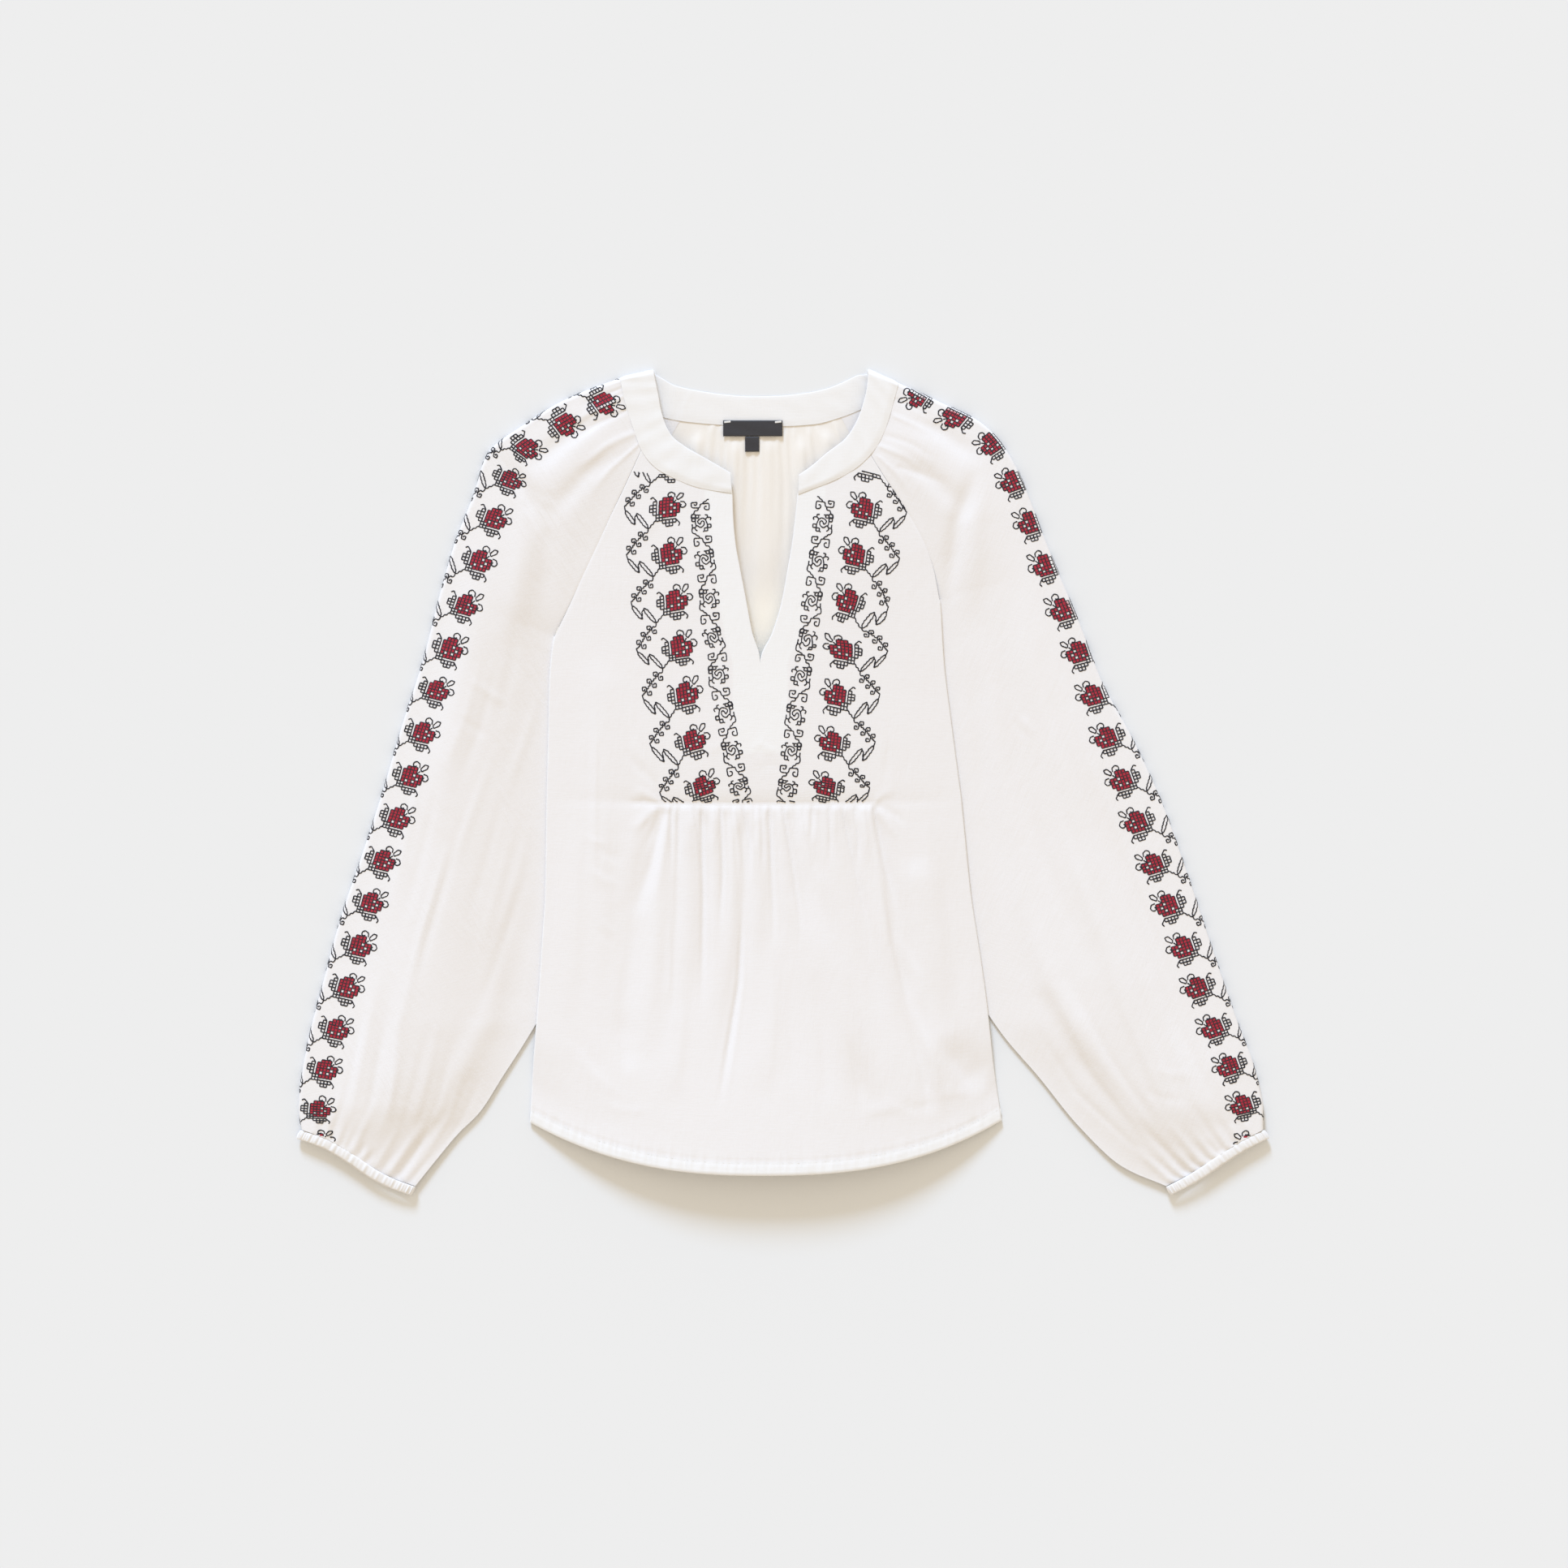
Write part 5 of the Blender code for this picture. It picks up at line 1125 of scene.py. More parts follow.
def casing_grid(sleeve_end, hand):
    """A puffy ring of cloth round the end of a sleeve, ruched by the elastic inside it."""
    line = wrist_line(sleeve_end)
    middle, reach, along, down = line
    turn = np.linspace(0.0, 2 * np.pi, CASING_STEPS + 1)
    sine = np.sin(turn)
    tall = CASING_HALF_HEIGHT * np.sign(sine) * np.abs(sine) ** CASING_FLATNESS
    ring = np.column_stack([reach * np.cos(turn), tall])
    tangent = np.gradient(ring, axis=0)
    tangent[0] = tangent[-1] = (0.0, 1.0)
    normal = np.column_stack([tangent[:, 1], -tangent[:, 0]])
    normal /= np.linalg.norm(normal, axis=1)[:, None]
    ruche = sum(size * np.sin(count * turn + 2.0 * np.sin(3 * turn + start))
                for count, size, start in CASING_RUCHES)
    section = np.linspace(0.0, 2 * np.pi, CASING_SECTION + 1)
    deep = CASING_DEPTH * (0.5 - 0.5 * np.cos(section)) - CASING_LAP
    thick = np.sin(section)
    away = (CASING_HALF_THICK * thick)[None, :] + ruche[:, None] * np.maximum(0.0, thick)[None, :]
    behind = (1 - sine) / 2 * CASING_BACK_SHOWS
    wander = 0.35 * np.sin(11 * turn) + 0.25 * np.sin(23 * turn + 1.0)
    flat = middle + (ring[:, :1] + normal[:, :1] * away)[:, :, None] * along
    reach_down = deep[None, :] * (1 + CASING_WANDER * wander[:, None]) + behind[:, None]
    flat = flat + reach_down[:, :, None] * down
    flat = flat + wrist_bend(flat, line, hand)
    height = CLOTH_MIDDLE + CASING_HALF_HEIGHT + CASING_REST + ring[:, 1:] + normal[:, 1:] * away
    return np.concatenate([flat, height[:, :, None]], axis=2)


casing_cotton = cotton("doubled cotton, wrists", rumple=0.6)
for hand in ("righthand", "lefthand"):
    ring = casing_grid(sleeve_grids[hand][0][-1], hand)
    doubled_and_painted_light = [np.full(ring.shape[:2], CASING_DOUBLED)]
    casing = cloth_piece("wrist_casing_" + hand, [ring], casing_cotton, doubled_and_painted_light)
    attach(casing, "root")
    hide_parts("casing_" + hand)


# The neckband: a straight strip of the same cotton, folded lengthwise over the gathered neck edge
# of all four panels and topstitched. Its ends stop at the slit. At each shoulder it turns over.
BAND_HALF = 0.5
BAND_STEPS = 15
BAND_LAYER_CELLS, BAND_FOLD_CELLS = 12, 8
BAND_FOLD_ROUND = 0.7
BAND_LIFT = 0.12
# How much the band thins towards its seam edge, outside and inside, and towards its fold
BAND_EDGE_LOW, BAND_EDGE_SHARE = (0.74, 0.2), 0.18
BAND_FOLD_LOW, BAND_FOLD_FROM, BAND_FOLD_SHARE = 0.12, 0.9, 0.1
# Each ripple of the band: its height, its turns along the band and across it, and its start
BAND_RIPPLES = ((0.10, 190, 5, 0.0), (0.08, 83, 9, 1.0))
BAND_INNER_RIPPLE = 0.5
BAND_WIDE = 25.0


def band_frame(places):
    """Seam edge, free edge and outward normal of the band along its round."""
    rows = curve_through(NECK, places)
    seam = np.column_stack([rows[:, 0:2], rows[:, 4]])
    free = np.column_stack([rows[:, 2:4], rows[:, 4]])
    along = np.gradient((seam + free) / 2, places, axis=0)
    normal = -np.cross(along, free - seam)
    return seam, free, normal / np.linalg.norm(normal, axis=1)[:, None]


def band_grid():
    """The folded strip: outer layer, fold at the free edge, inner layer."""
    places = np.linspace(0.0, len(NECK) - 1, (len(NECK) - 1) * BAND_STEPS + 1)
    seam, free, normal = band_frame(places)
    outer = [(share, 1.0) for share in np.linspace(0.0, 1.0, BAND_LAYER_CELLS + 1)[:-1]]
    fold = [(1.0 + BAND_FOLD_ROUND / BAND_WIDE * math.sin(turn), math.cos(turn))
            for turn in np.linspace(0.0, math.pi, BAND_FOLD_CELLS + 1)]
    inner = [(share, -1.0) for share in np.linspace(1.0, 0.0, BAND_LAYER_CELLS + 1)[1:]]
    run = np.linspace(0.0, 1.0, len(places))
    lines = []
    for share, side in outer + fold + inner:
        edge_low = BAND_EDGE_LOW[0] if side > 0 else BAND_EDGE_LOW[1]
        tuck = edge_low * smooth((BAND_EDGE_SHARE - share) / BAND_EDGE_SHARE)
        tuck += BAND_FOLD_LOW * smooth((share - BAND_FOLD_FROM) / BAND_FOLD_SHARE)
        ripple = sum(tall * np.sin(run * turns + across * share + start)
                     for tall, turns, across, start in BAND_RIPPLES)
        rise = BAND_LIFT * side + (BAND_HALF - tuck) * side
        rise = rise + ripple * (1 if side > 0 else BAND_INNER_RIPPLE)
        lines.append(seam + (free - seam) * share + normal * np.asarray(rise)[:, None])
    return np.array(lines).transpose(1, 0, 2)


band_cotton = cotton("doubled cotton, neckband", rumple=0.35)
ring = band_grid()
neckband = cloth_piece("folded_neckband", [ring], band_cotton, [np.ones(ring.shape[:2])])
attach(neckband, "root")
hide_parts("neckband")


# The label and the size tab: two bare pieces of black woven satin, sewn by their ends and their
# upper edge to the inside of the back, just under the neckband.
LABEL_WIDE, LABEL_DEEP, LABEL_UNDER, LABEL_WALL = 50.4, 13.5, 2.25, 0.9
TAB_WIDE, TAB_DEEP, TAB_UNDER = 12.0, 12.8, 1.95
TAB_X, TAB_Y = -26.0, LABEL_Y - LABEL_DEEP / 2 - 0.3 - TAB_DEEP / 2
SELVEDGE = 0.25
SELVEDGE_RISE = 0.6
# Each wave of the label and tab: its height, then how fast it turns along and down the piece
LABEL_WAVE = (0.14, 0.21, 0.1)
LABEL_SMALL_WAVE = (0.08, 0.13, 0.55)
LABEL_BLACK, LABEL_SHEEN = (0.017, 0.016, 0.021, 1.0), (0.030, 0.029, 0.036, 1.0)
SATIN_THREAD, SATIN_BUMP_DEEP = 0.5, 0.12
LABEL_CELLS_ALONG, LABEL_CELLS_DOWN = 41, 15


def woven_piece(name, x, y, wide, deep, under, material):
    """A thin woven tab with soft edges, slightly waved, closed underneath."""
    lines, rises = [], []
    for size, cells in ((wide, LABEL_CELLS_ALONG), (deep, LABEL_CELLS_DOWN)):
        line = np.linspace(-size / 2 + SELVEDGE, size / 2 - SELVEDGE, cells)
        lines.append(np.concatenate([[-size / 2] * 2, line, [size / 2] * 2]))
        rises.append(np.concatenate([[0.0, SELVEDGE_RISE], np.ones(cells), [SELVEDGE_RISE, 0.0]]))
    gx, gy = np.meshgrid(*lines)
    wave = sum(tall * np.sin(gx * by_x + gy * by_y)
               for tall, by_x, by_y in (LABEL_WAVE, LABEL_SMALL_WAVE))
    wall = LABEL_WALL * np.minimum.outer(rises[1], rises[0])
    top = np.stack([x + gx, y + gy, under + wave + wall], axis=-1)
    low = np.stack([x + gx, y + gy, under + wave], axis=-1)
    return cloth_piece(name, [top, low], material)


def label_satin():
    """Black woven satin: fine close weft threads with a soft sheen."""
    material, add, join, shader, place = new_finish("black woven satin")
    spread = add("ShaderNodeMapping")
    spread.inputs["Scale"].default_value = (0.18, 1.0, 1.0)
    threads = add("ShaderNodeTexNoise")
    threads.inputs["Scale"].default_value = 1 / (SATIN_THREAD * MM)
    threads.inputs["Detail"].default_value = 3.0
    join(place, "Object", spread, "Vector")
    join(spread, "Vector", threads, "Vector")
    ramp = add("ShaderNodeMix", data_type="RGBA")
    ramp.inputs["A"].default_value = LABEL_BLACK
    ramp.inputs["B"].default_value = LABEL_SHEEN
    join(threads, "Fac", ramp, "Factor")
    join(ramp, "Result", shader, "Base Color")
    raise_surface(add, join, shader, threads, "Fac", 0.5, SATIN_BUMP_DEEP)
    shader.inputs["Roughness"].default_value = 0.5
    shader.inputs["Sheen Weight"].default_value = 0.2
    return material


satin = label_satin()
label = woven_piece("neck_label", LABEL_X, LABEL_Y, LABEL_WIDE, LABEL_DEEP, LABEL_UNDER, satin)
tab = woven_piece("size_tab_bare", TAB_X, TAB_Y, TAB_WIDE, TAB_DEEP, TAB_UNDER, satin)
labels = ((label, "label", (LABEL_WIDE, LABEL_DEEP)), (tab, "size_tab", (TAB_WIDE, TAB_DEEP)))
for piece, node, flat in labels:
    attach(piece, "root")
    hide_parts(node)


# The embroidery: machine-sewn copies of old counted-thread work. Black outline stitches follow a
# square grid, and the flowers' cells are filled with crimson thread laid side by side. The thread
# stands a little proud of the cloth and every stitch dips into it at both ends.
CELL = 2.9
FLOWER_PITCH = 13.8
OUTLINE_HALF, OUTLINE_TALL = 0.565, 0.55
FILL_HALF, FILL_TALL = 0.54, 0.30
FILL_RIBS, FILL_OVER = 4, 0.08
# Across a stitch's length: share, width, height of its crown and of its two sides
STITCH_SECTIONS = ((0.0, 0.86, 0.6, 0.1), (0.5, 1.0, 1.0, 0.3), (1.0, 0.86, 0.6, 0.1))
BLACK_LIGHT, BLACK_DARK = (0.014, 0.013, 0.022, 1.0), (0.005, 0.004, 0.008, 1.0)
CRIMSON_LIGHT, CRIMSON_DARK = (0.50, 0.006, 0.036, 1.0), (0.31, 0.003, 0.020, 1.0)
THREAD_BUMP = 0.08
PLIES_A_MM, FLECKS_A_MM = 0.32, 0.8
SHORTEST_STITCH = 0.15
THREAD_UNEVEN = 0.14
LONGEST_STITCH = 1.05
BLACK_ROUGH, CRIMSON_ROUGH = 0.65, 0.5
STITCH_POINTS = 9
Surface = namedtuple("Surface", "points normals arcs")
Limits = namedtuple("Limits", "first_row last_row wrap wrap_from_row top_y")
BIB_TOP_Y = 269.0
NECK_ROW, BIB_FOOT_GAP, WRIST_ROWS = 0.6, 0.06, 1.4
SHOULDER_WRAP, SHOULDER_WRAP_ROWS = 9.0, 16
chance = np.random.default_rng(11)


def stitched_surface(grid, origin):
    """A sheet's points, normals and distances along each row from one of its columns."""
    down, across = np.gradient(grid, axis=0), np.gradient(grid, axis=1)
    normals = np.cross(across, down)
    normals /= np.maximum(np.linalg.norm(normals, axis=2), 1e-9)[:, :, None]
    if normals[len(grid) // 2, 10, 2] < 0:
        normals = -normals
    steps = np.linalg.norm(np.diff(grid, axis=1), axis=2)
    arcs = np.concatenate([np.zeros((len(grid), 1)), np.cumsum(steps, axis=1)], axis=1)
    return Surface(grid, normals, arcs - arcs[:, origin][:, None])


def on_surface(surface, rows, arcs):
    """Places and normals of the sheet at fractional rows and distances along them."""
    last = len(surface.points) - 1
    rows = np.clip(rows, 0.0, last - 1e-6)
    low = rows.astype(int)
    found = np.zeros((len(rows), 6))
    for row in np.unique(low):
        here = low == row
        part = rows[here] - row
        total = 0.0
        for index, share in ((row, 1 - part), (row + 1, part)):
            values = np.hstack([surface.points[index], surface.normals[index]])
            read = np.column_stack([np.interp(arcs[here], surface.arcs[index], column)
                                    for column in values.T])
            total = total + read * share[:, None]
        found[here] = total
    normals = found[:, 3:] / np.linalg.norm(found[:, 3:], axis=1)[:, None]
    return found[:, :3], normals


def place_in_grid(surface, x, y, columns):
    """Row and distance along it where the sheet lies at a place seen from above."""
    flat = surface.points[:, :columns, :2]
    away = np.hypot(flat[:, :, 0] - x, flat[:, :, 1] - y)
    row, column = np.unravel_index(np.argmin(away), away.shape)
    row, column = min(max(row, 1), len(flat) - 2), min(max(column, 1), columns - 2)
    by_row = (flat[row + 1, column] - flat[row - 1, column]) / 2
    by_column = (flat[row, column + 1] - flat[row, column - 1]) / 2
    miss = np.array([x, y]) - flat[row, column]
    add_row, add_column = np.linalg.solve(np.column_stack([by_row, by_column]), miss)
    arcs = surface.arcs[row]
    arc = arcs[column] + add_column * (arcs[column + 1] - arcs[column - 1]) / 2
    return row + add_row, arc


def strip_path(surface, centres, columns):
    """Follows a strip of motifs: rows, distances and their change for a step to the side."""
    found = np.array([place_in_grid(surface, x, y, columns) for x, y in centres])
    found = np.vstack([2 * found[0] - found[1], found, 2 * found[-1] - found[-2]])
    inner = np.clip(found[:, 0], 1, len(surface.points) - 2)
    slants = []
    for number in range(len(found)):
        before, after = max(number - 1, 0), min(number + 1, len(found) - 1)
        ends, _ = on_surface(surface, inner[[before, after]], found[[before, after], 1])
        along = (ends[1] - ends[0])[:2] / (after - before)
        pair, _ = on_surface(surface, inner[[number, number]], found[number, 1] + np.array([-1.0, 1.0]))
        sideways = (pair[1] - pair[0])[:2] / 2
        right = np.array([-along[1], along[0]]) / np.linalg.norm(along)
        slants.append(np.linalg.solve(np.column_stack([sideways, along]), right))
    return np.hstack([found, np.array(slants)])


def chart_to_cloth(path, u, v):
    """Rows and distances for chart places: cells to the right and pitches down the strip."""
    at = np.clip(v + 1.0, 0, len(path) - 1)
    rough = curve_through(path, at)
    step = rough[:, 3] * u
    moved = curve_through(path, v + 1.0 + step)
    beyond = np.minimum(v + 1.0 + step, 0.0) + np.maximum(v + 1.0 + step - (len(path) - 1), 0.0)
    edge = np.where(beyond < 0, path[1, 0] - path[0, 0], path[-1, 0] - path[-2, 0])
    return moved[:, 0] + beyond * edge, moved[:, 1] + rough[:, 2] * u


def short_stitches(lines, longest=LONGEST_STITCH):
    """Cuts chart lines into stitches no longer than a cell."""
    stitches = []
    for line in lines:
        for (au, av), (bu, bv) in zip(line, line[1:]):
            count = max(1, math.ceil(math.dist((au, av), (bu, bv)) / longest))
            for part in range(count):
                first, second = part / count, (part + 1) / count
                stitches.append((au + (bu - au) * first, av + (bv - av) * first,
                                 au + (bu - au) * second, av + (bv - av) * second))
    return np.array(stitches)


def thread_piece(name, starts, ends, up_starts, up_ends, half, tall, material):
    """Joins stitches into one mesh: each a low spindle, thickest in its middle."""
    along = ends - starts
    length = np.linalg.norm(along, axis=1)
    keep = length > SHORTEST_STITCH
    starts, ends, up_starts, up_ends = starts[keep], ends[keep], up_starts[keep], up_ends[keep]
    count, along = len(starts), along[keep] / length[keep][:, None]
    points = np.zeros((count, STITCH_POINTS, 3))
    uneven = 1.0 + chance.uniform(-THREAD_UNEVEN, THREAD_UNEVEN, count)[:, None]
    for section, (share, wide, crown, skirt) in enumerate(STITCH_SECTIONS):
        middle = starts + (ends - starts) * share
        up = up_starts + (up_ends - up_starts) * share
        side = np.cross(up, along)
        side /= np.maximum(np.linalg.norm(side, axis=1), 1e-9)[:, None]
        points[:, section * 3] = middle + side * half * wide * uneven + up * tall * skirt
        points[:, section * 3 + 1] = middle + up * tall * crown * uneven
        points[:, section * 3 + 2] = middle - side * half * wide * uneven + up * tall * skirt
    base = STITCH_POINTS * np.arange(count)[:, None, None]
    quads = np.array([[0, 3, 4, 1], [1, 4, 5, 2], [3, 6, 7, 4], [4, 7, 8, 5]])
    mesh = bpy.data.meshes.new(name)
    placed = ((points + MOVED) * MM).reshape(-1, 3)
    mesh.from_pydata(placed.tolist(), [], (base + quads).reshape(-1, 4).tolist())
    tone = mesh.attributes.new("tone", "FLOAT", "POINT")
    tones = np.repeat(chance.uniform(0.0, 1.0, count), STITCH_POINTS)
    tone.data.foreach_set("value", tones.astype(np.float32))
    mesh.polygons.foreach_set("use_smooth", [True] * len(mesh.polygons))
    mesh.materials.append(material)
    piece = bpy.data.objects.new(name, mesh)
    bpy.context.scene.collection.objects.link(piece)
    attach(piece, "root")
    return piece


def thread_twist_group():
    """Shader group for twisted thread: fine slanting plies and a slow change of tone."""
    tree = bpy.data.node_groups.new("thread twist", "ShaderNodeTree")
    tree.interface.new_socket("Place", in_out="INPUT", socket_type="NodeSocketVector")
    tree.interface.new_socket("Light tone", in_out="INPUT", socket_type="NodeSocketColor")
    tree.interface.new_socket("Dark tone", in_out="INPUT", socket_type="NodeSocketColor")
    tree.interface.new_socket("Stitch tone", in_out="INPUT", socket_type="NodeSocketFloat")
    tree.interface.new_socket("Colour", in_out="OUTPUT", socket_type="NodeSocketColor")
    tree.interface.new_socket("Height", in_out="OUTPUT", socket_type="NodeSocketFloat")
    add, join = link_maker(tree)
    entry, leave = add("NodeGroupInput"), add("NodeGroupOutput")
    plies = add("ShaderNodeTexWave", bands_direction="DIAGONAL")
    plies.inputs["Scale"].default_value = PLIES_A_MM / MM
    plies.inputs["Distortion"].default_value = 1.5
    join(entry, "Place", plies, "Vector")
    fleck = add("ShaderNodeTexNoise")
    fleck.inputs["Scale"].default_value = FLECKS_A_MM / MM
    join(entry, "Place", fleck, "Vector")
    both = add("ShaderNodeMath", operation="MULTIPLY_ADD")
    both.inputs[1].default_value = 0.45
    join(fleck, "Fac", both, 0)
    half_tone = add("ShaderNodeMath", operation="MULTIPLY")
    half_tone.inputs[1].default_value = 0.55
    join(entry, "Stitch tone", half_tone, 0)
    join(half_tone, 0, both, 2)
    mixed = add("ShaderNodeMix", data_type="RGBA")
    join(both, 0, mixed, "Factor")
    join(entry, "Dark tone", mixed, "A")
    join(entry, "Light tone", mixed, "B")
    join(mixed, "Result", leave, "Colour")
    join(plies, "Fac", leave, "Height")
    return tree


thread_twist = thread_twist_group()


def thread(name, light, dark, roughness):
    """Twisted sewing or embroidery thread of one colour."""
    material, add, join, shader, place = new_finish(name)
    twist = add("ShaderNodeGroup", node_tree=thread_twist)
    twist.inputs["Light tone"].default_value = light
    twist.inputs["Dark tone"].default_value = dark
    join(place, "Object", twist, "Place")
    tone = add("ShaderNodeAttribute", attribute_name="tone")
    join(tone, "Fac", twist, "Stitch tone")
    join(twist, "Colour", shader, "Base Color")
    raise_surface(add, join, shader, twist, "Height", 0.4, THREAD_BUMP)
    shader.inputs["Roughness"].default_value = roughness
    return material


black_thread = thread("black thread", BLACK_LIGHT, BLACK_DARK, BLACK_ROUGH)
crimson_thread = thread("crimson thread", CRIMSON_LIGHT, CRIMSON_DARK, CRIMSON_ROUGH)

# The flower, charted in cells from the middle of its red block: R is filled, w is left open
FLOWER_ROWS = (".RRR..", "RRRR..", "RRRwRR", "RRRRwR", "RwRwRR", ".RRRR.")
FLOWER_LEAN = 0.07
HALF_FLOWER = 3.0
LEAF_CELLS = [(-1.75, row) for row in range(1, 5)] + [(-2.75, row) for row in range(2, 4)]
SEPAL_CELLS = [(-0.85 + 0.925 * column, 5.0 + 0.925 * row) for column in (0, 1) for row in (0, 1)]
FOOT_CELLS = [(column, 6.75) for column in range(1, 5)] + [(column, 7.75) for column in range(2, 4)]
FLOWER_LINES = [
    [(-0.75, 1.0), (-1.0, 0.7), (-1.95, -0.35), (-2.65, 0.1)],
    [(4.75, 6.9), (5.1, 7.0), (6.1, 8.2), (5.7, 9.0)],
    [(4.45, -0.05), (4.3, -1.2), (3.25, -1.8), (2.45, -1.35), (2.35, -0.5), (2.9, -0.15),
     (3.5, -0.45)],
    [(4.85, 0.15), (5.8, -1.3), (6.85, -1.2), (6.7, -0.15), (5.3, 0.95), (4.85, 0.15)],
    [(6.05, 1.55), (7.2, 1.7), (7.8, 2.75), (7.35, 3.55), (6.5, 3.65), (6.15, 3.1), (6.45, 2.5)],
    [(4.1, 1.9), (4.9, 0.9)],
]
STEM = [(-3.75, 3.8), (-4.5, 4.35), (-4.6, 4.9), (-5.35, 5.1), (-5.45, 5.7), (-6.15, 6.05)]
VINE_START = [(-6.15, -7.75), (-6.25, -6.9), (-6.66, -6.5), (-7.3, -6.7), (-7.6, -6.15), (-7.8, -5.8)]
VINE_NODES = [(-7.8, -5.8), (-9.92, -4.1), (-11.6, -2.1), (-13.1, -0.7)]
VINE_END = [(-13.1, -0.7), (-12.9, 0.2)]
CURL = [(0.0, 0.0), (-0.15, -1.15), (-1.25, -1.2), (-1.3, -0.2), (-0.6, -0.15), (-0.55, -0.65)]
LEAVES = [((-12.9, 0.2), (-9.96, 4.5), 0.5), ((-6.15, 6.05), (-9.54, 1.3), 0.5)]
LEAF_JOIN = [(-9.5, 1.6), (-10.1, 2.4), (-9.9, 3.2), (-10.2, 4.2)]


def cell_sides(cells, size=1.0):
    """The sides of charted cells, each once."""
    sides = {}
    for u, v in cells:
        corners = [(u, v), (u + size, v), (u + size, v + size), (u, v + size)]
        for first, second in zip(corners, corners[1:] + corners[:1]):
            key = tuple(sorted((round(u, 2), round(v, 2)) for u, v in (first, second)))
            sides[key] = list(key)
    return list(sides.values())


def stepped(first, second, steps):
    """A staircase between two chart places."""
    line = [first]
    for step in range(1, steps + 1):
        u = first[0] + (second[0] - first[0]) * step / steps
        line.append((u, line[-1][1]))
        line.append((u, first[1] + (second[1] - first[1]) * step / steps))
    return line


def serrated(first, second, half, teeth=5):
    """The two toothed sides of a narrow leaf, drawn to a point at both ends."""
    du, dv = second[0] - first[0], second[1] - first[1]
    length = math.hypot(du, dv)
    nu, nv = -dv / length, du / length
    lines = []
    for side in (half, -half):
        line = [first]
        for tooth in range(teeth):
            for share, wide in ((0.15, 0.8), (0.6, 1.2)):
                at = (tooth + share + (0.2 if side > 0 else 0.0)) / teeth
                reach = side * wide * min(1.0, 5.0 * at, 6.0 * (1.0 - at))
                line.append((first[0] + du * at + nu * reach, first[1] + dv * at + nv * reach))
        line.append(second)
        lines.append(line)
    return lines


def flower_chart():
    """Outline stitches and filled cells of one motif, in cells from the flower's middle."""
    filled, grid_cells = [], []
    for v, text in enumerate(FLOWER_ROWS):
        for u, mark in enumerate(text):
            if mark != ".":
                grid_cells.append((float(u), float(v)))
            if mark == "R":
                filled.append((float(u), float(v)))
    lines = cell_sides(grid_cells) + cell_sides(LEAF_CELLS) + cell_sides(FOOT_CELLS)
    lines += cell_sides(SEPAL_CELLS, 0.925) + FLOWER_LINES

    def centred(u, v):
        return u - HALF_FLOWER, v - HALF_FLOWER - FLOWER_LEAN * (u - HALF_FLOWER)
    lines = [[centred(u, v) for u, v in line] for line in lines]
    filled = [centred(u, v) for u, v in filled]
    lines += [STEM, VINE_START, VINE_END, LEAF_JOIN]
    for first, second in zip(VINE_NODES, VINE_NODES[1:]):
        lines.append(stepped(first, second, 3))
    for u, v in VINE_NODES[:3]:
        lines.append([(u + cu, v + cv) for cu, cv in CURL])
        lines.append([(u - cu, v - cv) for cu, cv in CURL])
    for leaf in LEAVES:
        lines += serrated(*leaf)
    return short_stitches(lines), np.array(filled)


FLOWER_OUTLINE, FLOWER_FILL = flower_chart()


def sewn_inside(surface, first, second, limits):
    """Stitches laid on the sheet, without those that a seam would cut off or hide."""
    inside = np.minimum(first[0], second[0]) > limits.first_row
    inside &= np.maximum(first[0], second[0]) < limits.last_row
    inside &= (first[1] < limits.wrap) | (first[0] > limits.wrap_from_row)
    starts, up_starts = on_surface(surface, first[0][inside], first[1][inside])
    ends, up_ends = on_surface(surface, second[0][inside], second[1][inside])
    low = np.maximum(starts[:, 1], ends[:, 1]) < limits.top_y
    return starts[low], ends[low], up_starts[low], up_ends[low]


def embroider_flowers(surface, centres, columns, mirror, limits):
    """Sews a strip of flowers on a sheet, cut off where the strip meets a seam."""
    path = strip_path(surface, centres, columns)
    outlines, fills = [], []
    for index in range(-1, len(centres) + 1):
        whole = FLOWER_OUTLINE.copy()
        if index < 0:
            whole = whole[np.minimum(whole[:, 1], whole[:, 3]) > HALF_FLOWER - 0.1]
        whole[:, 1::2] = index + whole[:, 1::2] / FLOWER_PITCH
        outlines.append(whole)
        for rib in range(FILL_RIBS if index >= 0 else 0):
            down = (rib + 0.5) / FILL_RIBS
            v = index + (FLOWER_FILL[:, 1] + down) / FLOWER_PITCH
            lean = -FLOWER_LEAN / FLOWER_PITCH
            u = FLOWER_FILL[:, 0]
            fills.append(np.column_stack([u - FILL_OVER, v, u + 1.0 + FILL_OVER, v + lean]))
    made = []
    threads = (("outline", np.vstack(outlines), OUTLINE_HALF, OUTLINE_TALL, black_thread),
               ("crimson", np.vstack(fills), FILL_HALF, FILL_TALL, crimson_thread))
    for kind, stitches, half, tall, material in threads:
        first = chart_to_cloth(path, stitches[:, 0] * CELL * mirror, stitches[:, 1])
        second = chart_to_cloth(path, stitches[:, 2] * CELL * mirror, stitches[:, 3])
        made.append((kind, *sewn_inside(surface, first, second, limits), half, tall, material))
    return made


# Pixel of the picture that lies over the garment's middle, and the size of a pixel there
MIDDLE_PX, MM_A_PIXEL = (964.5, 966.5), 0.69


def from_picture(places):
    """Places read off the picture in its own pixels, as millimetres on the table."""
    return [((x - MIDDLE_PX[0]) * MM_A_PIXEL, (MIDDLE_PX[1] - y) * MM_A_PIXEL) for x, y in places]


